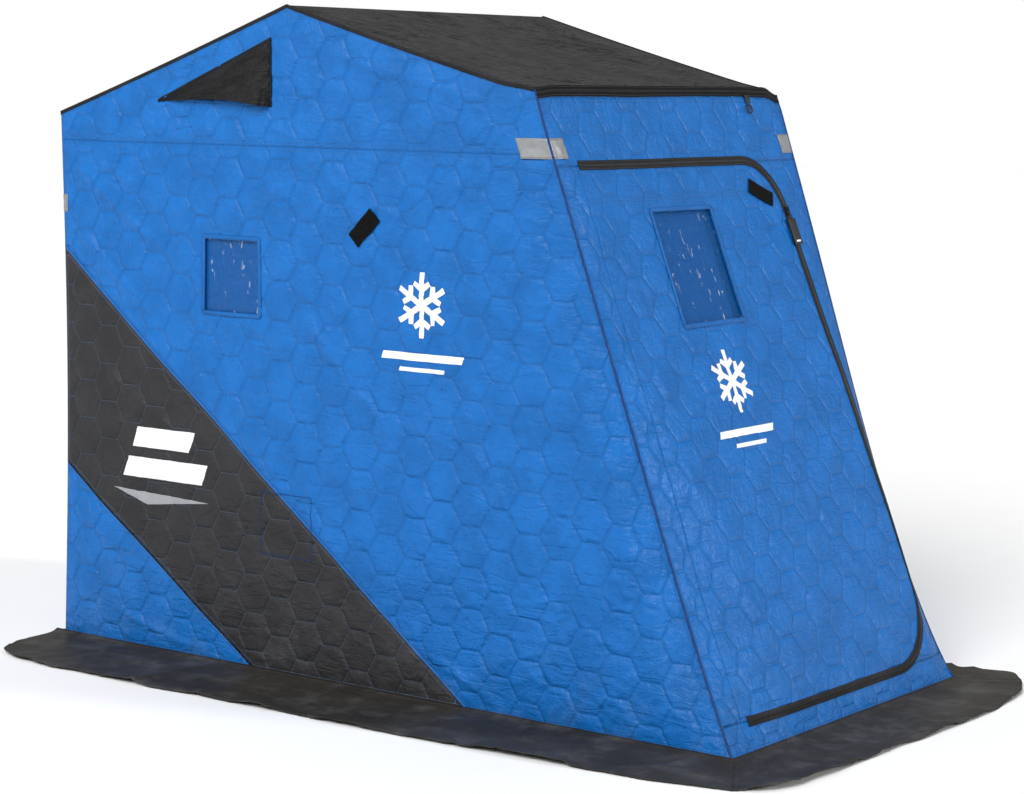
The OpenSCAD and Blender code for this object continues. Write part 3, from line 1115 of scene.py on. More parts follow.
def material_start(name: str, values: dict[str, object]) -> tuple[bpy.types.Material, Graph, Node]:
    """Starts a material with one Principled shader.

    Args:
        name: Name of the material.
        values: Constants for the shader's sockets.

    Returns:
        The material, its graph and its shader.
    """
    material = bpy.data.materials.new(name)
    material.use_nodes = True
    material.node_tree.nodes.clear()
    graph = Graph(material.node_tree)
    shader = graph.node("ShaderNodeBsdfPrincipled", values)
    graph.node("ShaderNodeOutputMaterial", {0: shader.outputs[0]})
    return material, graph, shader


@dataclass(frozen=True)
class Cloth:
    """A woven, coated cloth, plain or quilted."""

    name: str
    tint: Colour
    thread: Colour
    rough: float = 0.38
    gloss: float = 0.22
    quilted: bool = True
    stitched: bool = True
    second_row: bool = True
    rumple: float = 0.0019
    rumple_size: float = 0.042
    thread_size: float = THREAD
    mottle: float = 0.14
    dust: float = 0.06

    def build(self, effects: Effects) -> bpy.types.Material:
        """Builds the material.

        Args:
            effects: The shared shader groups.

        Returns:
            The material.
        """
        material, graph, shader = material_start(self.name, {"Specular IOR Level": self.gloss})
        flat = graph.cloth_map()
        spot = graph.node("ShaderNodeTexCoord").outputs["Object"]
        weave = graph.group(effects.weave, flat, self.thread_size)
        rumple = graph.group(effects.rumple, flat, self.rumple_size)
        wear = graph.group(effects.wear, spot, self.dust)
        dark = tuple(c * 0.62 for c in self.tint)
        pale = tuple(min(1.0, c * 1.22 + 0.004) for c in self.tint)
        # random paler and darker blotches: tone variation that is partly painted sheen
        colour = graph.blend(graph.span(rumple.outputs[1], 0.35, 0.65), dark, pale)
        colour = graph.blend(1.0 - self.mottle * 2.5, colour, self.tint)
        colour = graph.blend(graph.math("MULTIPLY", weave.outputs[1], 0.22), colour, pale)
        height = graph.math("MULTIPLY", rumple.outputs[0], self.rumple)
        height = graph.math("MULTIPLY_ADD", weave.outputs[0], 0.00003, height)
        if self.quilted:
            line = graph.attribute("quilt")
            split = graph.node("ShaderNodeSeparateXYZ", {0: flat})
            row = graph.group(effects.stitches, line, split.outputs[0], 0.0, STITCH_WIDTH)
            # painted shade: the cloth is darkened along the quilting valleys, where shade falls
            valley_shade = graph.span(line, 0.0075, 0.0)
            colour = graph.blend(graph.math("MULTIPLY", valley_shade, 0.30), colour, dark)
            colour = graph.blend(graph.math("MULTIPLY", row.outputs[0], 0.55), colour, self.thread)
            height = graph.math("MULTIPLY_ADD", graph.span(line, 0.007, 0.0), -0.0016, height)
        if self.stitched:
            seam = graph.attribute("seam")
            run = graph.attribute("run")
            for offset in STITCH_ROWS if self.second_row else STITCH_ROWS[:1]:
                row = graph.group(effects.stitches, seam, run, offset, STITCH_WIDTH)
                # painted shade: the cloth is darkened in the stitch row's groove
                colour = graph.blend(graph.math("MULTIPLY", row.outputs[1], 0.35), colour, dark)
                colour = graph.blend(graph.math("MULTIPLY", row.outputs[0], 0.8), colour, self.thread)
                height = graph.math("MULTIPLY_ADD", row.outputs[1], -0.0007, height)
                height = graph.math("MULTIPLY_ADD", row.outputs[0], 0.0004, height)
            # painted shade: a dark line along the seam itself, where the sewn edges meet
            colour = graph.blend(graph.math("MULTIPLY", graph.span(seam, 0.0032, 0.0), 0.55), colour, dark)
        colour = graph.blend(wear.outputs[0], colour, tone(176, 178, 180))
        colour = graph.blend(graph.math("MULTIPLY", wear.outputs[1], 0.25), colour, pale)
        polish = graph.math("MULTIPLY_ADD", rumple.outputs[1], -0.22, self.rough + 0.11)
        polish = graph.math("MULTIPLY_ADD", wear.outputs[1], 0.12, polish)
        graph.finish(shader, colour, polish, height)
        return material


@dataclass(frozen=True)
class Film:
    """Clear flexible window film with soft ripples."""

    name: str = "window film"
    tint: Colour = (0.008, 0.125, 0.42)
    clear: float = 0.34

    def build(self) -> bpy.types.Material:
        """Builds the material."""
        values = {
            "Specular IOR Level": 0.4,
            "IOR": 1.5,
            "Coat Weight": 0.10,
            "Coat Roughness": 0.04,
            "Alpha": self.clear,
        }
        material, graph, shader = material_start(self.name, values)
        flat = graph.cloth_map()
        ripple = graph.noise(graph.stretch(flat, (9.0, 26.0, 1.0), 55.0), 1.0, 4.0, 0.6, 0.8)
        fine = graph.noise(graph.stretch(flat, (60.0, 18.0, 1.0), 20.0), 1.0, 3.0, 0.6, 1.2)
        height = graph.math("MULTIPLY_ADD", fine, 0.0012, graph.math("MULTIPLY", ripple, 0.006))
        # pale streaks: painted reflection of the lights in the film's ripples, partly also fine scratches
        streak = graph.span(fine, 0.64, 0.69)
        colour = graph.blend(graph.math("MULTIPLY", streak, 0.9), self.tint, (0.85, 0.9, 0.95))
        graph.finish(shader, colour, graph.span(fine, 0.3, 0.8, 0.05, 0.22), height)
        return material


@dataclass(frozen=True)
class Moulded:
    """Moulded plastic or powder-coated metal, with fine grain and rubbed edges."""

    name: str
    tint: Colour
    rough: float = 0.45
    metal: float = 0.0
    grain: float = 900.0
    grain_depth: float = 0.00012

    def build(self, effects: Effects) -> bpy.types.Material:
        """Builds the material."""
        values = {"Metallic": self.metal, "Specular IOR Level": 0.45}
        material, graph, shader = material_start(self.name, values)
        spot = graph.node("ShaderNodeTexCoord").outputs["Object"]
        grain = graph.noise(spot, self.grain, 4.0, 0.6)
        scuff = graph.noise(graph.stretch(spot, (40.0, 9.0, 14.0)), 1.0, 6.0, 0.7, 0.4)
        wear = graph.group(effects.wear, spot, 0.6)
        pale = tuple(min(1.0, c * 1.5 + 0.02) for c in self.tint)
        colour = graph.blend(graph.span(scuff, 0.5, 0.75, 0.0, 0.35), self.tint, pale)
        colour = graph.blend(wear.outputs[1], colour, pale)
        polish = graph.math("MULTIPLY_ADD", scuff, 0.25, self.rough - 0.12)
        graph.finish(shader, colour, polish, grain, self.grain_depth)
        return material


@dataclass(frozen=True)
class Reflective:
    """Grey safety tape with a faint bead lattice."""

    name: str = "safety tape"
    tint: Colour = tone(140, 142, 145)

    def build(self, effects: Effects) -> bpy.types.Material:
        """Builds the material."""
        material, graph, shader = material_start(self.name, {"Metallic": 0.25, "Specular IOR Level": 0.6})
        flat = graph.cloth_map()
        beads = graph.node("ShaderNodeTexVoronoi", {"Vector": flat, "Scale": 700.0}).outputs[0]
        seam = graph.attribute("seam")
        run = graph.attribute("run")
        row = graph.group(effects.stitches, seam, run, STITCH_ROWS[0], STITCH_WIDTH)
        dirt = graph.noise(flat, 45.0, 5.0, 0.65)
        colour = graph.blend(graph.span(dirt, 0.4, 0.7, 0.0, 0.4), self.tint, tone(112, 114, 118))
        colour = graph.blend(graph.math("MULTIPLY", row.outputs[0], 0.7), colour, tone(96, 98, 102))
        height = graph.math("MULTIPLY_ADD", row.outputs[1], -0.0006, graph.math("MULTIPLY", beads, 0.0001))
        graph.finish(shader, colour, graph.span(dirt, 0.3, 0.7, 0.32, 0.5), height)
        return material


@dataclass(frozen=True)
class Print:
    """Thin ink print, a little broken up by the weave under it."""

    name: str
    tint: Colour

    def build(self, effects: Effects) -> bpy.types.Material:
        """Builds the material."""
        material, graph, shader = material_start(self.name, {"Specular IOR Level": 0.35})
        flat = graph.cloth_map()
        weave = graph.group(effects.weave, flat, THREAD)
        crack = graph.noise(flat, 260.0, 5.0, 0.7)
        faded = tuple(c * 0.78 for c in self.tint)
        colour = graph.blend(graph.span(crack, 0.5, 0.75), self.tint, faded)
        height = graph.math("MULTIPLY", weave.outputs[0], 0.00008)
        graph.finish(shader, colour, graph.span(crack, 0.3, 0.7, 0.45, 0.6), height)
        return material


class Finishes:
    """Every finish of the shelter, built once."""

    def __init__(self) -> None:
        """Builds the materials."""
        fx = Effects()
        blue_thread = tone(40, 106, 176)
        grey_thread = tone(96, 118, 150)
        dark_thread = tone(40, 40, 42)

        def cloth(name: str, tint: Colour, thread: Colour, **choices: float) -> bpy.types.Material:
            """Builds one cloth."""
            return Cloth(name, tint, thread, **choices).build(fx)

        def plain(name: str, tint: Colour, thread: Colour, **choices: float) -> bpy.types.Material:
            """Builds one cloth that isn't quilted."""
            return cloth(name, tint, thread, quilted=False, **choices)

        self.blue = cloth("blue quilted cloth", tone(15, 99, 174), blue_thread)
        # painted shade: a darker copy of the blue cloth, for the covers in the shade behind the window film
        self.cover = cloth("window cover cloth", tone(14, 86, 158), blue_thread)
        self.black = cloth("black quilted cloth", tone(44, 44, 46), grey_thread, rough=0.56)
        lining_thread = tone(80, 82, 86)
        self.lining = cloth("grey lining", tone(58, 60, 64), lining_thread, rough=0.7, gloss=0.2, dust=0.1)
        # painted shade: this dark blue stands for the shade in the corner seams' crease and along the
        # pocket's edge
        self.shade_edge_blue = plain("corner binding painted shade", tone(9, 54, 112), blue_thread, stitched=False)
        self.blue_tape = plain("blue binding", tone(15, 98, 173), blue_thread, second_row=False)
        # the roof's strong mottle is partly painted highlights
        look = {"rough": 0.55, "gloss": 0.20, "rumple": 0.0048, "rumple_size": 0.05, "mottle": 0.38}
        self.roof = plain("roof cloth", tone(23, 23, 24), tone(56, 56, 60), **look)
        look = {"rough": 0.55, "gloss": 0.1, "rumple": 0.0006}
        self.roof_tape = plain("black binding", tone(12, 12, 14), tone(70, 70, 74), **look)
        look = {"rough": 0.55, "gloss": 0.18, "rumple": 0.0012, "rumple_size": 0.07, "mottle": 0.25}
        self.skirt = plain("skirt cloth", tone(49, 46, 41), tone(70, 71, 76), dust=0.10, **look)
        look = {"rough": 0.6, "rumple": 0.0, "thread_size": 0.0009}
        self.zip_tape = plain("zip tape", tone(24, 24, 26), tone(70, 71, 74), **look)
        look = {"rough": 0.85, "gloss": 0.08, "rumple": 0.0008, "rumple_size": 0.006, "thread_size": 0.0014}
        self.hook_tape = plain("hook tape", tone(13, 13, 14), dark_thread, second_row=False, **look)
        self.mesh = plain("vent mesh", tone(20, 20, 22), dark_thread, stitched=False, thread_size=0.002)
        self.film = Film().build()
        self.coil = Moulded("zip coil", tone(20, 20, 22), rough=0.35).build(fx)
        self.plastic = Moulded("black nylon", tone(28, 28, 30), rough=0.5).build(fx)
        self.metal = Moulded("black metal", tone(40, 40, 43), rough=0.35, metal=0.8).build(fx)
        self.tube = Moulded("frame tube", tone(92, 96, 102), rough=0.38, metal=0.9, grain=300.0).build(fx)
        self.safety = Reflective().build(fx)
        self.white = Print("white print", tone(236, 238, 240)).build(fx)
        self.grey = Print("grey print", tone(150, 152, 156)).build(fx)


def settle(
    piece: Piece,
    materials: Sequence[bpy.types.Material],
    body: str,
    nodes: Sequence[str] = (),
) -> Piece:
    """Dresses a piece, and tells the frame what it is.

    Args:
        piece: The piece.
        materials: Its materials.
        body: The body it rides on.
        nodes: The CAD nodes it stands for.

    Returns:
        The piece.
    """
    piece.data.materials.clear()
    for material in materials:
        piece.data.materials.append(material)
    if body:
        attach(piece, body)
    if nodes:
        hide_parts(*nodes)
    LOG.info("built %s: %d faces", piece.name, len(piece.data.polygons))
    return piece


def patch_piece(name: str, face: Face, line: Sequence[Point], width: float) -> Piece:
    """Makes a hook-and-loop patch with rounded edges, along a short line."""
    patch = trim_piece(name, face, line, width, 0.0052, step=0.007, thick=0.0022, follow=0.8)
    edge = patch.modifiers.new("edge", "BEVEL")
    edge.width = 0.0008
    edge.segments = 2
    edge.limit_method = "ANGLE"
    edge.angle_limit = math.radians(40)
    return patch


def print_piece(name: str, face: Face, outline: Sequence[Point], lift: float = 0.0009) -> Piece:
    """Makes a flat print that lies exactly on the quilting under it."""
    return cloth_piece(name, face, Cut(tuple(outline), seams=()), lift=lift)


def snowflake(u: float, v: float, size: float) -> list[Point]:
    """Outline of a plain six-armed snowflake.

    Args:
        u: Middle across.
        v: Middle up.
        size: Length of an arm.

    Returns:
        The outline.
    """
    half = [(0.16, 0.09), (0.42, 0.09), (0.60, 0.34), (0.74, 0.26), (0.64, 0.09), (1.0, 0.09)]
    arm = [(x, -y) for x, y in half] + [(x, y) for x, y in reversed(half)]
    outline = []
    for i in range(6):
        turn = math.radians(90 + 60 * i)
        for x, y in arm:
            across = x * math.cos(turn) - y * math.sin(turn)
            rise = x * math.sin(turn) + y * math.cos(turn)
            outline.append((u + size * across, v + size * rise))
    return outline


def slanted_bar(u: float, v: float, width: float, height: float, lean: float = 0.4) -> list[Point]:
    """Outline of a plain bar with leaning ends, from its lower left corner."""
    shift = lean * height
    return [(u, v), (u + width - shift, v), (u + width, v + height), (u + shift, v + height)]


def box_outline(u: float, v: float, width: float, height: float) -> list[Point]:
    """Outline of a box from its middle."""
    return [
        (u - width / 2, v - height / 2),
        (u + width / 2, v - height / 2),
        (u + width / 2, v + height / 2),
        (u - width / 2, v + height / 2),
    ]


def soft_box(u: float, v: float, width: float, height: float, radius: float) -> list[Point]:
    """Outline of a box with rounded corners, from its middle."""
    p = box_outline(u, v, width, height)
    outline: list[Point] = []
    for i in range(4):
        outline.extend(rounded(p[i - 1], p[i], p[(i + 1) % 4], radius, 4))
    return outline


# ---------------------------------------------------------------- side walls


@dataclass
class Window:
    """A window: clear film, a quilted cover behind it and a sewn frame."""

    face: Face
    finishes: Finishes
    middle: Point
    opening: Point
    frame_run: float
    cover_short: float = 0.0
    lap: float = 0.034
    film_depth: float = -0.0050
    cover_depth: float = -0.0125
    frame_gap: float = 0.012
    frame_w: float = 0.013

    def build(self, label: str, node: str, body: str) -> None:
        """Builds and dresses the window.

        Args:
            label: Start of the film's and the cover's names.
            node: The film's CAD node, which also starts the frame's name.
            body: The body it rides on.
        """
        u, v = self.middle
        w, h = (size + self.lap for size in self.opening)
        path = [(u - w / 2, v), (u + w / 2, v)]
        film = trim_piece(label + "_film", self.face, path, h, self.film_depth, thick=0.0008)
        settle(film, (self.finishes.film,), body, (node,))
        # the cover takes the darker cover cloth, which is painted shade behind the film
        path = [(u - w / 2, v), (u + w / 2 - self.cover_short, v)]
        name = label + "_cover_cloth"
        cover = trim_piece(name, self.face, path, h, self.cover_depth, thick=0.003, follow=0.8)
        settle(cover, (self.finishes.cover,), body, (node + "_cover",))
        w, h = (size + self.frame_gap for size in self.opening)
        ring = closed(soft_box(u, v, w, h, 0.006))
        frame = trim_piece(node + "_frame", self.face, ring, self.frame_w, 0.0030, step=0.01, thick=0.0015)
        settle(frame, (self.finishes.blue_tape,), body)


@dataclass
class SideWall:
    """One side wall: gable, upper wall, dark band, rear corner, window, vent and trims."""

    form: ShellForm
    side: Side
    finishes: Finishes
    seam_h: float = 1.454
    band_top: tuple[Point, Point] = ((0.0, 1.148), (1.513, 0.0))
    band_low: tuple[Point, Point] = ((0.0, 0.518), (0.759, 0.0))
    window_middle: Point = (0.668, 1.094)
    window_size: float = 0.200
    vent: tuple[Point, Point, Point] = ((0.390, 1.571), (0.811, 1.736), (0.811, 1.559))
    vent_stand: float = 0.028
    patch_middle: Point = (1.149, 1.248)
    patch_size: Point = (0.100, 0.048)
    face: Face = field(init=False)

    def __post_init__(self) -> None:
        """Sets up the face that the cloth lies on."""
        form = self.form
        sign = self.side.value
        self.face = Face(
            form=form,
            origin=Vector((sign * form.half_w, form.rear_y, 0)),
            across=Vector((0, -1, 0)),
            up=Vector((0, 0, 1)),
            outward=Vector((sign, 0, 0)),
            outline=(
                (0.0, form.foot_h),
                (0.0, form.rear_h),
                (form.rear_y - form.peak_y, form.peak_h),
                (form.rear_y - form.brow_y, form.brow_h),
                (form.rear_y - form.foot_y, form.foot_h),
            ),
            fold_turns=(-38.0, 62.0, -8.0),
            creases=self.creases(),
            seed=11 if self.side is Side.LEFT else 57,
        )

    @staticmethod
    def creases() -> tuple[Crease, ...]:
        """Long folds that the bows pull into the wall."""
        return (
            Crease((1.60, 1.575), (1.20, 1.220), 0.010, 0.006),
            Crease((1.64, 1.545), (1.31, 1.235), 0.009, 0.005),
            Crease((1.66, 1.44), (1.60, 1.12), 0.009, 0.005),
            Crease((1.71, 1.42), (1.70, 1.05), 0.008, 0.004),
            Crease((0.88, 1.755), (1.66, 1.543), 0.016, 0.006),
            Crease((0.02, 1.40), (0.46, 1.13), 0.011, 0.006),
            Crease((0.01, 1.23), (0.40, 0.95), 0.012, 0.006),
            Crease((0.03, 1.50), (0.36, 1.30), 0.010, 0.004),
            Crease((0.05, 0.86), (0.55, 0.60), 0.013, 0.005),
            Crease((0.45, 1.55), (0.50, 1.47), 0.007, 0.004),
            Crease((0.57, 1.55), (0.60, 1.46), 0.007, 0.005),
            Crease((0.69, 1.55), (0.70, 1.45), 0.007, 0.004),
            Crease((0.10, 1.565), (0.40, 1.672), 0.009, 0.005),
            Crease((0.30, 1.615), (0.66, 1.745), 0.009, 0.005),
            Crease((1.95, 0.75), (1.70, 0.30), 0.012, 0.005),
            Crease((2.05, 0.50), (1.86, 0.12), 0.012, 0.005),
            Crease((0.20, 0.10), (0.60, 0.02), 0.014, 0.005),
            Crease((1.30, 0.16), (1.62, 0.03), 0.013, 0.006),
            Crease((0.90, 1.05), (1.30, 0.62), 0.013, 0.005),
            Crease((1.40, 0.80), (1.74, 0.44), 0.013, 0.005),
        )

    def run_at(self, line: tuple[Point, Point], height: float) -> Point:
        """Returns the point of a slanted line at a height."""
        (u0, v0), (u1, v1) = line
        return u0 + (v0 - height) / (v0 - v1) * (u1 - u0), height

    def name(self, part: str) -> str:
        """Returns a part's name with its side."""
        return f"{'left' if self.side is Side.LEFT else 'right'}_{part}"

    def build(self) -> None:
        """Builds and dresses every piece of the wall."""
        self.build_cloth()
        size = (self.window_size, self.window_size)
        frame_run = 4 * self.window_size + 0.05
        window = Window(self.face, self.finishes, self.window_middle, size, frame_run=frame_run)
        window.build(self.name("window"), self.name("window"), "shelter")
        self.build_vent()
        self.build_trims()
        self.build_prints()

    def build_cloth(self) -> None:
        """Makes the four quilted cloths."""
        form = self.form
        foot = form.foot_h
        _, rear_top, peak, brow, toe = self.face.outline
        edge = (form.edge_run(self.seam_h), self.seam_h)
        top_toe = self.run_at(self.band_top, foot)
        low_toe = self.run_at(self.band_low, foot)
        top_rear = self.band_top[0]
        low_rear = self.band_low[0]
        tip, top, low = self.vent
        inner = top[0] - 0.022
        opening = ((tip[0] + 0.08, tip[1] + 0.012), (inner, top[1] - 0.032), (inner, low[1] + 0.012))
        window = tuple(box_outline(*self.window_middle, self.window_size, self.window_size))
        blue = (self.finishes.blue, self.finishes.lining)
        black = (self.finishes.black, self.finishes.lining)
        gable = Cut((rear_top, peak, brow, edge, (0.0, self.seam_h)), (opening,))
        upper = Cut(((0.0, self.seam_h), edge, toe, top_toe, top_rear), (window,))
        cuts = (
            ("gable", gable, blue, Slot.BLUE),
            ("wall_front", upper, blue, Slot.BLUE),
            ("wall_band", Cut((top_rear, top_toe, low_toe, low_rear)), black, Slot.BLACK),
            ("wall_corner", Cut((low_rear, low_toe, (0.0, foot))), blue, Slot.BLUE),
        )
        for part, cut, materials, slot in cuts:
            piece = cloth_piece(self.name(part + "_cloth"), self.face, cut)
            thicken(piece, QUILT_THICK, lined=True)
            settle(piece, materials, "shelter", (self.name(part),))
            area = area_of(cut.outline) - sum(area_of(hole) for hole in cut.holes)
            extent_of(cut.outline)

    def build_vent(self) -> None:
        """Makes the hood, which stands open below, and the mesh behind it."""
        tip, top, low = (np.array(p) for p in self.vent)
        face = self.face
        seed = face.seed

        def place(a: Array, b: Array) -> Array:
            """Places the hood's cloth."""
            a = 0.004 + 0.996 * a
            upper = tip + np.outer(a, top - tip)
            lower = tip + np.outer(a, low - tip)
            spot = upper + (lower - upper) * b[:, None]
            belly = a**0.7 * smooth((1.0 - a) / 0.07) * b**0.85
            lift = 0.005 + self.vent_stand * belly
            lift = lift + 0.003 * a * b * soft_noise(spot[:, 0] / 0.05, spot[:, 1] / 0.06, seed)
            lift = lift + 0.006 * b * folds(spot[:, 0], spot[:, 1], 50.0, (0.12, 0.04), seed + 3)
            spot[:, 1] += 0.013 * np.sin(math.pi * a**1.3) * b**2
            return face.place(spot[:, 0], spot[:, 1], lift)

        hood = grid_piece(self.name("vent_hood_cloth"), (64, 26), (0.43, 0.18), place, face.outward)
        thicken(hood, 0.0016)
        settle(hood, (self.finishes.roof,), "shelter", (self.name("vent_hood"),))
        inner = top[0] - 0.012
        opening = ((tip[0] + 0.06, tip[1] + 0.006), (inner, top[1] - 0.018), (inner, low[1] + 0.004))
        mesh = cloth_piece(self.name("vent_mesh"), face, Cut(opening), quilted=False, edge=0.02, lift=-0.0065)
        thicken(mesh, 0.0006)
        settle(mesh, (self.finishes.mesh,), "shelter")
        hem = [(tip[0] + 0.004, tip[1] + 0.001), (top[0], top[1] + 0.003), (low[0] + 0.003, low[1])]
        tape = trim_piece(self.name("vent_binding"), face, hem, 0.010, 0.0052, step=0.01)
        settle(tape, (self.finishes.roof_tape,), "shelter")

    def build_trims(self) -> None:
        """Makes the pipings, the hook-and-loop patch, the pocket's stitching drawn dark as painted shade
        along its edge, and the eyelet.
        """
        face = self.face
        foot = self.form.foot_h
        upper = [(0.004, self.band_top[0][1] - 0.003), self.run_at(self.band_top, foot + 0.002)]
        piping = trim_piece(self.name("band_piping"), face, upper, 0.009, 0.0016, Profile.ROUND)
        settle(piping, (self.finishes.blue_tape,), "shelter")
        lower = [(0.004, self.band_low[0][1] - 0.003), self.run_at(self.band_low, foot + 0.002)]
        cord = trim_piece(self.name("band_lower_piping"), face, lower, 0.005, 0.0014, Profile.ROUND)
        settle(cord, (self.finishes.roof_tape,), "shelter")
        _, rear_top, peak, brow, _ = face.outline
        edge = [(p[0], p[1] - 0.002) for p in (rear_top, peak, brow)]
        binding = trim_piece(self.name("roof_edge"), face, edge, 0.010, 0.0024, thick=0.0015)
        settle(binding, (self.finishes.roof,), "shelter")
        u, v = self.patch_middle
        c = math.cos(math.radians(44)) * self.patch_size[0] / 2
        line = [(u - c, v - c), (u + c, v + c)]
        patch = patch_piece(self.name("tape_patch"), face, line, self.patch_size[1])
        settle(patch, (self.finishes.hook_tape,), "shelter", (self.name("patch"),))
        # the pocket's outline stitching is drawn dark, as painted shade along the pocket's edge
        pocket = closed([(0.782, 0.336), (0.965, 0.336), (0.965, 0.508), (0.782, 0.508)])
        name = self.name("pocket_thread")
        thread = trim_piece(name, face, pocket, 0.0016, 0.0010, follow=1.0, step=0.006, thick=0.0006)
        settle(thread, (self.finishes.shade_edge_blue,), "shelter")
        turn = face.spot(0.728, 0.402, 0.0042)
        eyelet = solid_piece(self.name("eyelet"), lambda bm: add_ring(bm, turn, 0.0048, 0.0014))
        settle(eyelet, (self.finishes.metal,), "shelter")

    def build_prints(self) -> None:
        """Makes the plain prints: a snowflake, bars and a wedge."""
        face = self.face
        white = [
            ("print_snowflake", snowflake(1.344, 1.055, 0.086)),
            ("print_bar_1", slanted_bar(1.205, 0.909, 0.280, 0.020)),
            ("print_bar_2", slanted_bar(1.265, 0.880, 0.160, 0.011)),
            ("print_band_1", slanted_bar(0.285, 0.588, 0.245, 0.058)),
            ("print_band_2", slanted_bar(0.245, 0.500, 0.335, 0.058)),
        ]
        for part, outline in white:
            piece = print_piece(self.name(part), face, outline)
            settle(piece, (self.finishes.white,), "shelter")
        wedge = [(0.205, 0.463), (0.59, 0.452), (0.345, 0.424)]
        piece = print_piece(self.name("print_wedge"), face, wedge)
        settle(piece, (self.finishes.grey,), "shelter")


# ---------------------------------------------------------------- front wall and door


def shell_face(form: ShellForm, low: Point, high: Point, quilted: bool, seed: int) -> Face:
    """Sets up a full-width side of the shell: a roof slope or the rear wall.

    Args:
        form: The shell.
        low: Its lower edge, as a place along the shelter and a height.
        high: Its upper edge, likewise.
        quilted: False for plain cloth.
        seed: Chooses its folds.

    Returns:
        The face.
    """
    up = Vector((0, high[0] - low[0], high[1] - low[1]))
    length = up.length
    up.normalize()
    outward = up.cross(Vector((1, 0, 0)))
    if outward.z < -0.01 or (abs(outward.z) < 0.01 and outward.y < 0):
        outward = -outward
    w = form.half_w
    return Face(
        form=form,
        origin=Vector((0, *low)),
        across=Vector((1, 0, 0)),
        up=up,
        outward=outward,
        outline=((-w, 0.0), (w, 0.0), (w, length), (-w, length)),
        fold_turns=(-40.0, 55.0) if quilted else (70.0, 20.0, -60.0),
        seed=seed,
        fold_height=0.0026 if quilted else 0.0045,
        wave=0.005 if quilted else 0.006,
    )


def front_face(form: ShellForm) -> Face:
    """Sets up the sloping front, whose second coordinate is 0 at the top edge and negative below."""
    up = form.slope
    low = -form.slope_length
    return Face(
        form=form,
        origin=Vector((0, form.brow_y, form.brow_h)),
        across=Vector((1, 0, 0)),
        up=up,
        outward=Vector((0, -up.z, up.y)),
        outline=((-form.half_w, low), (form.half_w, low), (form.half_w, 0.0), (-form.half_w, 0.0)),
        fold_turns=(-52.0, 40.0, 85.0),
        creases=(
            Crease((-0.55, -0.30), (-0.25, -0.62), 0.016, 0.0026),
            Crease((-0.50, -0.55), (-0.30, -1.05), 0.017, 0.0032),
            Crease((0.18, -0.66), (0.38, -1.20), 0.018, 0.0032),
            Crease((0.02, -0.95), (0.30, -1.45), 0.018, 0.0032),
            Crease((-0.20, -1.10), (0.05, -1.50), 0.017, 0.0026),
            Crease((0.45, -0.62), (0.50, -1.15), 0.014, 0.0026),
            Crease((-0.42, -1.15), (-0.18, -1.58), 0.017, 0.0032),
            Crease((-0.40, -0.07), (0.10, -0.15), 0.015, 0.0022),
            Crease((0.12, -0.05), (0.50, -0.14), 0.014, 0.0022),
            Crease((0.28, -0.36), (0.42, -0.62), 0.014, 0.0026),
        ),
        quilt_height=0.0021,
        fold_height=0.0011,
        seed=23,
    )


@dataclass
class DoorCut:
    """Sizes of the door in the front wall, in the front face's coordinates."""

    hinge: float = -0.490
    top: float = -0.195
    low: float = -1.643
    right_top: float = 0.430
    right_low: float = 0.526
    r_top: float = 0.150
    r_low: float = 0.210
    zip_start: float = -0.484
    zip_start_low: float = -0.466
    zip_w: float = 0.025
    zip_run: float = 3.13

    def outline(self, grow: float, left: float) -> list[Point]:
        """Outline of the door grown on its free sides.

        Args:
            grow: How far it grows.
            left: Place of its hinge side.

        Returns:
            The outline from its lower hinge corner.
        """
        low = (self.right_low + grow, self.low - grow)
        top = (self.right_top + grow, self.top + grow)
        hinge_low = (left, self.low - grow)
        hinge_top = (left, self.top + grow)
        first = rounded(hinge_low, low, top, self.r_low + grow, 12)
        second = rounded(low, top, hinge_top, self.r_top + grow, 10)
        return [hinge_low, *first, *second, hinge_top]

    def zip_line(self) -> list[Point]:
        """Line of the zip's coil, from its lower end to its upper end."""
        path = self.outline(0.0025, self.zip_start)
        return [(self.zip_start_low, path[0][1]), *path[1:]]


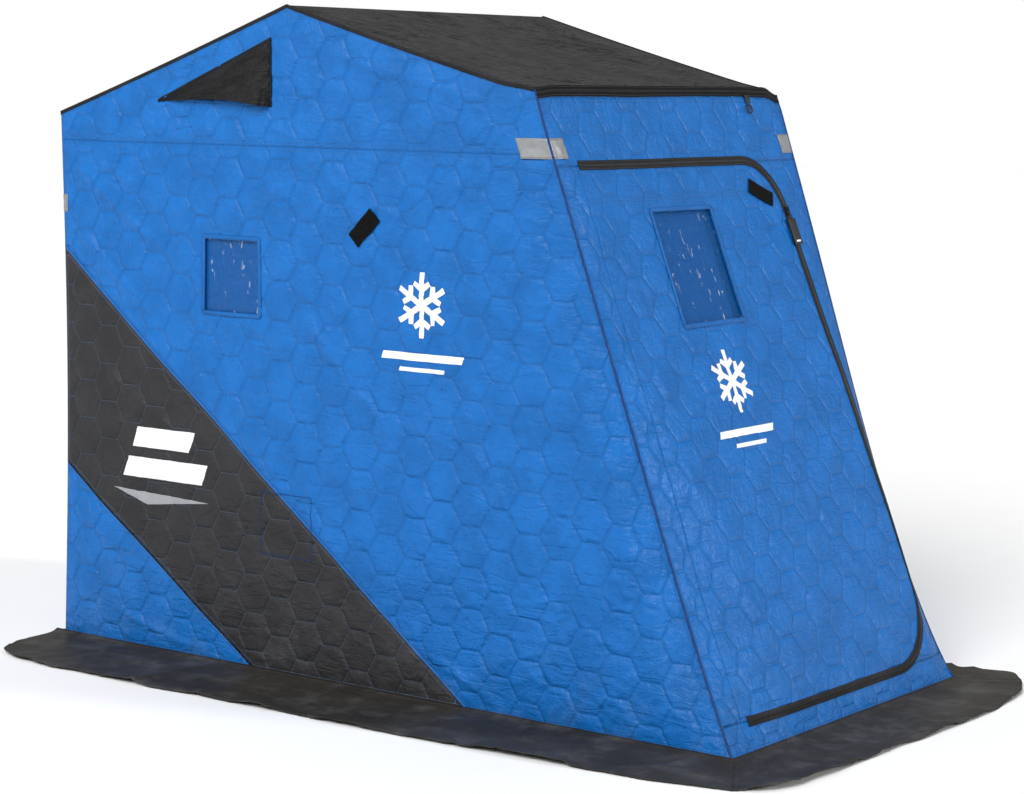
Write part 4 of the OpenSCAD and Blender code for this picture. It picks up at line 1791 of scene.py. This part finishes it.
@dataclass
class FrontWall:
    """The front wall round the door, with its hem, reflectors and hook."""

    form: ShellForm
    face: Face
    sides: dict[Side, Face]
    door: DoorCut
    finishes: Finishes
    hem_drop: float = 0.024
    hook_x: float = 0.397
    tape_low: float = 1.444
    tape_high: float = 1.495
    rear_tape_low: float = 1.246
    tape_w: float = 0.051
    front_run: float = 0.158
    front_bend: float = 0.098
    rear_run: float = 0.120
    rear_bend: float = 0.100

    def build(self) -> None:
        """Builds and dresses every piece of the wall."""
        self.build_cloth()
        self.build_hem()
        self.build_reflectors()
        self.build_hook()

    def build_cloth(self) -> None:
        """Makes the header, the two strips, the sill and the fixed zip tape."""
        w = self.form.half_w
        low = -self.form.slope_length
        head = self.door.top + 0.0006
        sill = self.door.low - 0.0006
        hole = self.door.outline(0.004, self.door.hinge)
        right = [(self.door.right_top - self.door.r_top, sill), (w, sill), (w, head), (hole[-2][0], head)]
        right += reversed(hole[1:-1])
        head_line = ((-w, head), (w, head))
        sill_line = ((-w, sill), (w, sill))
        zip_line = tuple(self.door.zip_line())
        uprights = (((-w, head), (-w, 0.0)), ((w, head), (w, 0.0)))
        hem_lines = tuple(((-w, drop), (w, drop)) for drop in (0.0, -0.012, -0.024))
        hinge = self.door.hinge
        left = ((-w, sill), (hinge, sill), (hinge, head), (-w, head))
        header = ((-w, head), (w, head), (w, 0.0), (-w, 0.0))
        foot = ((-w, low), (w, low), (w, sill), (-w, sill))
        left_seams = (((-w, sill), (-w, head)), head_line, sill_line)
        right_seams = (((w, sill), (w, head)), zip_line, head_line, sill_line)
        cuts = (
            ("front_header", Cut(header, seams=(head_line, *uprights, *hem_lines))),
            ("front_sill", Cut(foot, seams=(sill_line, ((-w, low), (w, low))))),
            ("front_left_strip", Cut(left, seams=left_seams)),
            ("front_right_strip", Cut(tuple(right), seams=right_seams)),
        )
        for node, cut in cuts:
            piece = cloth_piece(node + "_cloth", self.face, cut)
            thicken(piece, QUILT_THICK, lined=True)
            settle(piece, (self.finishes.blue, self.finishes.lining), "shelter", (node,))
            extent_of(cut.outline)
            area_of(cut.outline)
        # the corner pipings take the dark blue as painted shade of the corner crease
        for label, u in (("left", -w), ("right", w)):
            line = [(u, low + 0.002), (u, -0.006)]
            piping = trim_piece(f"{label}_corner_piping", self.face, line, 0.008, 0.0012, Profile.ROUND)
            settle(piping, (self.finishes.shade_edge_blue,), "shelter")
        width = self.door.zip_w
        tape = trim_piece("fixed_zip_tape", self.face, self.door.zip_line(), width, -0.0062, thick=0.0012)
        settle(tape, (self.finishes.zip_tape,), "shelter", ("front_zip_tape",))

    def build_hem(self) -> None:
        """Makes the dark hem under the front top edge."""
        w = self.form.half_w + 0.001
        seed = self.face.seed

        def place(a: Array, b: Array) -> Array:
            """Places the hem's cloth, which turns over the edge at its top."""
            u = (2 * a - 1) * w
            drop = self.hem_drop * (1.0 - b)
            wave = 0.0018 * soft_noise(u / 0.045, b * 1.5, seed + 60)
            wave = wave + 0.0012 * folds(u, b * 0.03, 80.0, (0.03, 0.05), seed)
            droop = 0.0025 * soft_noise(u / 0.16, 0 * u, seed + 61) * (1.0 - b)
            return self.face.place(u, -drop + 0.003 * b + droop, 0.0042 + wave)

        hem = grid_piece("roof_hem_cloth", (150, 6), (2 * w, self.hem_drop), place, self.face.outward)
        thicken(hem, 0.0016)
        settle(hem, (self.finishes.roof_tape,), "shelter", ("roof_hem",))

    def build_reflectors(self) -> None:
        """Makes the grey tapes that wrap the four upright corners."""
        form = self.form
        back_wall = shell_face(form, (form.rear_y, form.foot_h), (form.rear_y, form.rear_h), True, REAR_SEED)
        for side, wall in self.sides.items():
            word = "left" if side is Side.LEFT else "right"

            def place_front(a: Array, b: Array, wall: Face = wall, side: Side = side) -> Array:
                """Places the tape round the front corner."""
                z = self.tape_low + (self.tape_high - self.tape_low) * b
                run = self.front_run * a
                on_side = run <= self.front_bend
                share = (form.brow_h - z) / (form.brow_h - form.foot_h)
                edge = form.rear_y - form.brow_y + share * (form.brow_y - form.foot_y)
                back = np.clip(self.front_bend - run, 0.0, None)
                level = 0.0012 + wall.sewn_height(edge - back, z, back * 0.93)
                beside = wall.place(edge - back, z, level)
                down = -share * form.slope_length
                gap = np.clip(run - self.front_bend, 0.0, None)
                x = side.value * (form.half_w - gap)
                level = 0.0012 + self.face.sewn_height(x, down, gap)
                ahead = self.face.place(x, down, level)
                return np.where(on_side[:, None], beside, ahead)

            aim = Vector((side.value, -1, 0))
            size = (self.front_run, self.tape_w)
            first = grid_piece(f"{word}_front_tape", (40, 8), size, place_front, aim)
            thicken(first, 0.0008)
            nodes = ("front_reflectors",) if side is Side.LEFT else ()
            settle(first, (self.finishes.safety,), "shelter", nodes)

            def place_rear(a: Array, b: Array, wall: Face = wall, side: Side = side) -> Array:
                """Places the tape round the rear corner."""
                z = self.rear_tape_low + self.tape_w * b
                run = self.rear_run * a
                gap = np.clip(self.rear_bend - run, 0.0, None)
                x = side.value * (form.half_w - gap)
                up = z - form.foot_h
                behind = back_wall.place(x, up, 0.0014 + back_wall.sewn_height(x, up, gap))
                ahead = np.clip(run - self.rear_bend, 0.0, None)
                beside = wall.place(ahead, z, 0.0014 + wall.sewn_height(ahead, z, ahead))
                return np.where((gap > 0)[:, None], behind, beside)

            size = (self.rear_run, self.tape_w)
            rear = grid_piece(f"{word}_rear_tape", (30, 8), size, place_rear, Vector((0, 1, 0)))
            thicken(rear, 0.0008)
            nodes = ("rear_reflectors",) if side is Side.LEFT else ()
            settle(rear, (self.finishes.safety,), "shelter", nodes)

    def build_hook(self) -> None:
        """Makes the ring and its webbing loop below the hem."""
        spot = self.face.spot(self.hook_x, -self.hem_drop - 0.029, 0.0075)

        def build(bm: BMesh) -> None:
            """Adds the ring and the loop."""
            add_ring(bm, spot, 0.012, 0.0024)
            top = self.face.spot(self.hook_x, -self.hem_drop - 0.006, 0.0068)
            add_block(bm, top, (0.018, 0.024, 0.0032), 0.0012)

        hook = solid_piece("hook_ring", build)
        settle(hook, (self.finishes.plastic,), "shelter", ("hanging_hook",))


@dataclass
class Door:
    """The door: a quilted flap with a window, a patch, its half of the zip and the slider."""

    form: ShellForm
    face: Face
    cut: DoorCut
    finishes: Finishes
    window_middle: Point = (-0.076, -0.478)
    window_size: Point = (0.276, 0.306)
    patch_middle: Point = (0.337, -0.287)
    patch_size: Point = (0.110, 0.042)
    slider_at: Point = (0.4424, -0.345)

    def build(self) -> None:
        """Builds and dresses every piece of the door."""
        self.build_flap()
        size = self.window_size
        window = Window(self.face, self.finishes, self.window_middle, size, frame_run=1.21, cover_short=0.042)
        window.build("door", "door_window", "door")
        self.build_zip()
        self.build_slider()
        self.build_patch()
        self.build_prints()

    def build_flap(self) -> None:
        """Makes the quilted flap."""
        outline = self.cut.outline(0.0, self.cut.hinge + 0.0008)
        hole = tuple(box_outline(*self.window_middle, *self.window_size))
        zip_line = tuple(self.cut.zip_line())
        across = ((self.cut.hinge, -0.290), (0.46, -0.290))
        cut = Cut(tuple(outline), (hole,), seams=(zip_line, across))
        flap = cloth_piece("door_cloth", self.face, cut)
        thicken(flap, QUILT_THICK, lined=True)
        settle(flap, (self.finishes.blue, self.finishes.lining), "", ("door_flap",))
        self.bend(flap)

    def bend(self, piece: Piece) -> None:
        """Bakes a piece's placement into its mesh; it does not bend the piece."""
        middle = self.face.place(np.array([self.cut.hinge]), np.array([-0.9]), 0.0)[0]
        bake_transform(piece)

    def build_zip(self) -> None:
        """Makes the zip's tape and its coil on the door."""
        path = self.cut.zip_line()
        tape = trim_piece("door_zip_tape", self.face, path, self.cut.zip_w, 0.0030, step=0.008, thick=0.0012)
        settle(tape, (self.finishes.zip_tape,), "", ("door_zip",))
        self.bend(tape)
        coil = trim_piece("door_zip_coil", self.face, path, 0.0062, 0.0032, Profile.COIL, step=0.0015)
        settle(coil, (self.finishes.coil,), "")
        self.bend(coil)

    def build_slider(self) -> None:
        """Makes the slider, its pull and the pull's pale tip."""
        u, v = self.slider_at
        face = self.face

        def slider(bm: BMesh) -> None:
            """Adds the slider's body, bridge and ring."""
            add_block(bm, face.spot(u, v, 0.0072, 3.8), (0.013, 0.026, 0.0055), 0.0022, 3)
            add_block(bm, face.spot(u, v + 0.002, 0.0112, 3.8), (0.005, 0.018, 0.004), 0.0016, 3)
            add_ring(bm, face.spot(u, v - 0.018, 0.0105, 3.8), 0.0075, 0.0013, 20)

        def pull(bm: BMesh) -> None:
            """Adds the moulded pull."""
            add_block(bm, face.spot(u + 0.001, v - 0.062, 0.0105, 2.0), (0.038, 0.076, 0.0050), 0.0022, 3)

        def tip(bm: BMesh) -> None:
            """Adds the pull's tip."""
            add_block(bm, face.spot(u + 0.002, v - 0.090, 0.0113, 2.0), (0.022, 0.006, 0.0048), 0.0012, 3)

        body = solid_piece("slider_body", slider)
        settle(body, (self.finishes.metal,), "door", ("zip_slider",))
        settle(solid_piece("slider_pull", pull), (self.finishes.plastic,), "door")
        settle(solid_piece("slider_pull_tip", tip), (self.finishes.white,), "door")

    def build_patch(self) -> None:
        """Makes the hook-and-loop patch at the upper free corner."""
        u, v = self.patch_middle
        c = math.cos(math.radians(-24)) * self.patch_size[0] / 2
        s = math.sin(math.radians(-24)) * self.patch_size[0] / 2
        line = [(u - c, v - s), (u + c, v + s)]
        patch = patch_piece("door_tape_patch", self.face, line, self.patch_size[1])
        settle(patch, (self.finishes.hook_tape,), "door", ("door_patch",))

    def build_prints(self) -> None:
        """Makes the door's plain snowflake and bars."""
        shapes = [
            ("door_print_snowflake", snowflake(-0.092, -0.796, 0.086)),
            ("door_print_bar_1", slanted_bar(-0.222, -0.943, 0.262, 0.020)),
            ("door_print_bar_2", slanted_bar(-0.165, -0.972, 0.150, 0.011)),
        ]
        for name, outline in shapes:
            settle(print_piece(name, self.face, outline), (self.finishes.white,), "door")


# ---------------------------------------------------------------- rear wall, roof, skirt, frame


@dataclass
class RoofAndRear:
    """The two roof cloths and the rear wall."""

    form: ShellForm
    finishes: Finishes

    def build(self) -> None:
        """Builds and dresses the cloths."""
        form = self.form
        jobs = (
            ("rear_wall", (form.rear_y, form.foot_h), (form.rear_y, form.rear_h), True, REAR_SEED),
            ("roof_rear", (form.rear_y, form.rear_h), (form.peak_y, form.peak_h), False, 33),
            ("roof_front", (form.brow_y, form.brow_h), (form.peak_y, form.peak_h), False, 37),
        )
        for node, low, high, quilted, seed in jobs:
            face = shell_face(form, low, high, quilted, seed)
            outline = face.outline
            length = outline[2][1]
            edge = CLOTH_EDGE if quilted else 0.011
            piece = cloth_piece(node + "_cloth", face, Cut(outline), quilted=quilted, edge=edge)
            thicken(piece, QUILT_THICK if quilted else 0.003, lined=True)
            finish = self.finishes.blue if quilted else self.finishes.roof
            settle(piece, (finish, self.finishes.lining), "shelter", (node,))
            if quilted:
                self.build_rear_edge(face, length)

    def build_rear_edge(self, face: Face, length: float) -> None:
        """Makes the dark binding along the rear wall's top edge."""
        w = self.form.half_w
        line = [(-w, length - 0.004), (w, length - 0.004)]
        tape = trim_piece("rear_roof_edge", face, line, 0.010, 0.0024, thick=0.0015)
        settle(tape, (self.finishes.roof_tape,), "shelter")


@dataclass
class Skirt:
    """The ground skirt: four cloths sewn to the foot of the walls."""

    form: ShellForm
    finishes: Finishes
    reach_side: float = 0.335
    reach_front: float = 0.250
    left_share: tuple[Point, ...] = (
        (0.34, -0.035), (0.82, 0.035), (1.0, 0.150), (1.0, 0.600), (0.96, 1.160),
        (0.91, 1.560), (0.86, 1.900), (0.80, 2.251), (0.70, 2.381),
    )
    right_share: tuple[Point, ...] = (
        (0.34, -0.035), (0.82, 0.035), (1.0, 0.150), (1.0, 0.600), (0.90, 1.160),
        (0.72, 1.560), (0.55, 1.900), (0.40, 2.281), (0.53, 2.411),
    )

    def build(self) -> None:
        """Builds and dresses the four cloths."""
        w = self.form.half_w
        depth = self.form.rear_y - self.form.foot_y + 0.002
        left_mitre = (-(w + 0.64 * self.reach_side), depth + 0.52 * self.reach_front)
        right_mitre = (w + 0.35 * self.reach_side, depth + 0.57 * self.reach_front)
        left = [(-(w + p[0] * self.reach_side), p[1]) for p in self.left_share] + [left_mitre]
        right = [(w + p[0] * self.reach_side, p[1]) for p in self.right_share] + [right_mitre]
        front = [
            left_mitre,
            (-w - 0.48 * self.reach_side, depth + 0.78 * self.reach_front),
            (-w - 0.23 * self.reach_side, depth + 0.93 * self.reach_front),
            (-0.520, depth + 0.93 * self.reach_front),
            (0.0, depth + 0.97 * self.reach_front),
            (0.345, depth + self.reach_front),
            (0.555, depth + 0.85 * self.reach_front),
            right_mitre,
        ]
        edge = w + 0.0005
        self.build_strip("skirt_left", [(-edge, -0.035), (-edge, depth)], left, 71)
        self.build_strip("skirt_right", [(edge, -0.035), (edge, depth)], right, 73)
        self.build_strip("skirt_front", [(-edge, depth), (edge, depth)], front, 79)
        self.build_strip("skirt_rear", [(-edge, 0.0), (edge, 0.0)], [(-edge, -0.035), (edge, -0.035)], 83)

    def build_strip(self, node: str, inner: list[Point], outer: list[Point], seed: int) -> None:
        """Makes one cloth between the wall and its own outer edge.

        Args:
            node: The CAD node it stands for.
            inner: Ends of the line where it is sewn to the wall, as across and forward.
            outer: Its outer edge, as across and forward.
            seed: Chooses its wrinkles.
        """
        dense = spaced(outer, 0.01)
        kernel = np.hanning(9)
        kernel /= kernel.sum()
        padded = np.vstack([np.repeat(dense[:1], 4, 0), dense, np.repeat(dense[-1:], 4, 0)])
        eased = np.stack([np.convolve(padded[:, i], kernel, "valid") for i in range(2)], 1)
        eased[0] = dense[0]
        eased[-1] = dense[-1]
        steps = np.concatenate([[0.0], np.cumsum(np.linalg.norm(np.diff(eased, axis=0), axis=1))])
        length = float(steps[-1])
        start = np.array(inner[0])
        end = np.array(inner[1])
        axis = int(np.argmin(np.abs(end - start)))
        wide = float(np.abs(eased[:, axis] - start[axis]).max())

        def place(a: Array, b: Array) -> Array:
            """Places the skirt's cloth on the ground."""
            out = np.stack([np.interp(a * length, steps, eased[:, i]) for i in range(2)], 1)
            root = start + np.outer(a, end - start)
            ends = smooth(a / 0.04) * smooth((1 - a) / 0.04)
            out = out + (out - root) * (0.02 * soft_noise(a * length / 0.11, 0 * a, seed) * ends)[:, None]
            spot = root + (out - root) * b[:, None]
            reach = np.linalg.norm(out - root, axis=1) * b
            along = a * length
            ripple = folds(along, reach * 0.35, 84.0, (0.30, 0.10), seed + 1)
            height = 0.009 * ripple * smooth(reach / 0.05) * (0.4 + 0.6 * b)
            height += 0.004 * folds(along, reach, 15.0, (0.16, 0.06), seed + 2) * smooth(reach / 0.03)
            wave = soft_noise(along / 0.12, reach / 0.10, seed + 3)
            height += 0.005 * (0.5 + 0.5 * wave) * smooth(reach / 0.04)
            curl = np.clip(soft_noise(along / 0.15, 0 * along, seed + 5), 0.0, 1.0)
            height += 0.012 * b**4 * curl * min(1.0, wide / 0.1)
            height += 0.0012 * soft_noise(along / 0.02, reach / 0.02, seed + 4) * smooth(reach / 0.02)
            height = 0.0030 + height * ends + 0.011 * np.exp(-reach / 0.016)
            return np.stack([spot[:, 0], self.form.rear_y - spot[:, 1], np.maximum(height, 0.0026)], 1)

        cells = (max(20, round(length / 0.011)), max(5, round(wide / 0.011)))
        piece = grid_piece(node + "_cloth", cells, (length, wide), place, Vector((0, 0, 1)))
        thicken(piece, 0.0018)
        settle(piece, (self.finishes.skirt,), "shelter", (node,))


@dataclass
class Bows:
    """The folding bows and hubs, which keep their CAD shape and gain fittings."""

    form: ShellForm
    nodes: dict[str, Piece]
    finishes: Finishes

    def build(self) -> None:
        """Dresses the tubes and hubs, and adds the hub bolts."""
        for node in ("rear_bow", "peak_bow", "front_bow", "base_bow"):
            mesh = self.nodes[node].data
            mesh.materials.clear()
            mesh.materials.append(self.finishes.tube)
            LOG.info("dressed %s", node)
        for node in ("left_pivot", "right_pivot"):
            mesh = self.nodes[node].data
            mesh.materials.clear()
            mesh.materials.append(self.finishes.plastic)
            self.build_bolts(node)

    def build_bolts(self, node: str) -> None:
        """Adds a bolt with a washer in the hub's middle, and four rivets round it."""
        low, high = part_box(node)
        sign = -1 if low.x < 0 else 1
        inner = high.x if sign < 0 else low.x
        middle = Vector((inner, (low.y + high.y) / 2, high.z - 0.072))
        turn = Matrix.Translation(middle) @ Matrix.Rotation(-sign * math.pi / 2, 4, "Y")

        def build(bm: BMesh) -> None:
            """Adds the bolt, its washer and the rivets."""
            for radius, depth, sides in ((0.016, 0.0016, 32), (0.0095, 0.0068, 6)):
                lift = turn @ Matrix.Translation((0, 0, depth / 2))
                rim = {"segments": sides, "radius1": radius, "radius2": radius * 0.94, "depth": depth}
                bmesh.ops.create_cone(bm, cap_ends=True, matrix=lift, **rim)
            for i in range(4):
                spin = Matrix.Rotation(math.radians(45 + 90 * i), 4, "Z")
                spot = turn @ spin @ Matrix.Translation((0.052, 0, 0.001))
                rivet = {"segments": 20, "radius1": 0.006, "radius2": 0.004, "depth": 0.002}
                bmesh.ops.create_cone(bm, cap_ends=True, matrix=spot, **rivet)

        bolts = solid_piece(node + "_bolts", build, smooth_faces=False)
        settle(bolts, (self.finishes.metal,), "shelter")


# ---------------------------------------------------------------- studio


def direction(azimuth: float, elevation: float) -> Vector:
    """Returns the way to a place seen at these angles, in degrees: 0 is in front, -90 left."""
    a = math.radians(azimuth)
    e = math.radians(elevation)
    return Vector((math.sin(a) * math.cos(e), -math.cos(a) * math.cos(e), math.sin(e)))


@dataclass
class Studio:
    """Pale floor, soft lights and the camera."""

    place: tuple[float, float, float] = (-5.8377, -4.3096, 1.6359)
    azimuth: float = -53.158
    elevation: float = 6.910
    roll: float = 0.707
    lens: float = 91.59

    def build(self) -> None:
        """Builds the studio."""
        self.build_camera()
        self.build_floor()
        self.build_world()
        self.build_sun("key", azimuth=-80.0, elevation=40.0, softness=36.0, power=2.7)
        self.build_sun("front light", azimuth=22.0, elevation=18.0, softness=8.0, power=1.4)
        panel = Vector((-2.7, 1.3, 2.5))
        self.build_panel("left panel", panel, aim=Vector((-0.6, 0.3, 1.2)), size=1.4, power=15.0)
        self.build_sun("rear fill", azimuth=125.0, elevation=50.0, softness=60.0, power=0.35)

    def build_camera(self) -> None:
        """Makes the camera and looks through it."""
        back = direction(self.azimuth, self.elevation)
        right = (-back).cross(Vector((0, 0, 1))).normalized()
        up = right.cross(-back)
        turn = Matrix((right, up, back)).transposed().to_4x4()
        data = bpy.data.cameras.new("camera")
        data.lens = self.lens
        data.sensor_width = 36.0
        camera = bpy.data.objects.new("camera", data)
        roll = Matrix.Rotation(math.radians(self.roll), 4, "Z")
        camera.matrix_world = Matrix.Translation(self.place) @ turn @ roll
        bpy.context.scene.collection.objects.link(camera)
        bpy.context.scene.camera = camera

    def build_floor(self) -> None:
        """Makes the plain pale floor."""
        bm = bmesh.new()
        bmesh.ops.create_grid(bm, x_segments=4, y_segments=4, size=40.0)
        mesh = mesh_of("floor", bm)
        floor = new_piece("floor", mesh)
        material, graph, shader = material_start("pale floor", {"Specular IOR Level": 0.1, "Roughness": 0.9})
        spot = graph.node("ShaderNodeTexCoord").outputs["Object"]
        cloud = graph.noise(spot, 3.0, 4.0)
        colour = graph.blend(cloud, (0.93, 0.93, 0.93), (0.95, 0.95, 0.95))
        graph.join(shader, Base_Color=colour)
        mesh.materials.append(material)

    def build_world(self) -> None:
        """Makes the white surroundings."""
        world = bpy.data.worlds.new("white studio")
        world.use_nodes = True
        graph = Graph(world.node_tree)
        seen = graph.node("ShaderNodeLightPath").outputs["Is Camera Ray"]
        level = graph.math("MULTIPLY_ADD", seen, 0.68, 0.32)
        sky = world.node_tree.nodes["Background"]
        sky.inputs[0].default_value = (1.0, 1.0, 1.0, 1.0)
        graph.tree.links.new(level, sky.inputs[1])
        bpy.context.scene.world = world
        bpy.context.scene.view_settings.view_transform = "Standard"

    def build_sun(self, name: str, azimuth: float, elevation: float, softness: float, power: float) -> None:
        """Makes one soft far light.

        Args:
            name: Its name.
            azimuth: Where it stands, 0 in front and -90 to the left.
            elevation: Its height in degrees.
            softness: Its apparent width in degrees.
            power: Its strength.
        """
        data = bpy.data.lights.new(name, "SUN")
        data.angle = math.radians(softness)
        data.energy = power
        light = bpy.data.objects.new(name, data)
        aim = -direction(azimuth, elevation)
        light.matrix_world = aim.to_track_quat("-Z", "Y").to_matrix().to_4x4()
        bpy.context.scene.collection.objects.link(light)

    def build_panel(self, name: str, place: Vector, aim: Vector, size: float, power: float) -> None:
        """Makes one near, square light, whose light fades across the shelter.

        Args:
            name: Its name.
            place: Where it stands.
            aim: What it faces.
            size: Length of its side.
            power: Its power in watts.
        """
        data = bpy.data.lights.new(name, "AREA")
        data.size = size
        data.energy = power
        light = bpy.data.objects.new(name, data)
        turn = (aim - place).to_track_quat("-Z", "Y").to_matrix().to_4x4()
        light.matrix_world = Matrix.Translation(place) @ turn
        bpy.context.scene.collection.objects.link(light)


def main() -> None:
    """Builds the shelter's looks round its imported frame."""
    logging.basicConfig(level=logging.INFO, format="%(message)s")
    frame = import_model()
    form = ShellForm()
    finishes = Finishes()
    Studio().build()
    walls = {side: SideWall(form, side, finishes) for side in Side}
    for wall in walls.values():
        wall.build()
    front = front_face(form)
    door = DoorCut()
    FrontWall(form, front, {side: wall.face for side, wall in walls.items()}, door, finishes).build()
    Door(form, front, door, finishes).build()
    RoofAndRear(form, finishes).build()
    Skirt(form, finishes).build()
    Bows(form, frame["nodes"], finishes).build()


if __name__ == "__main__":
    main()
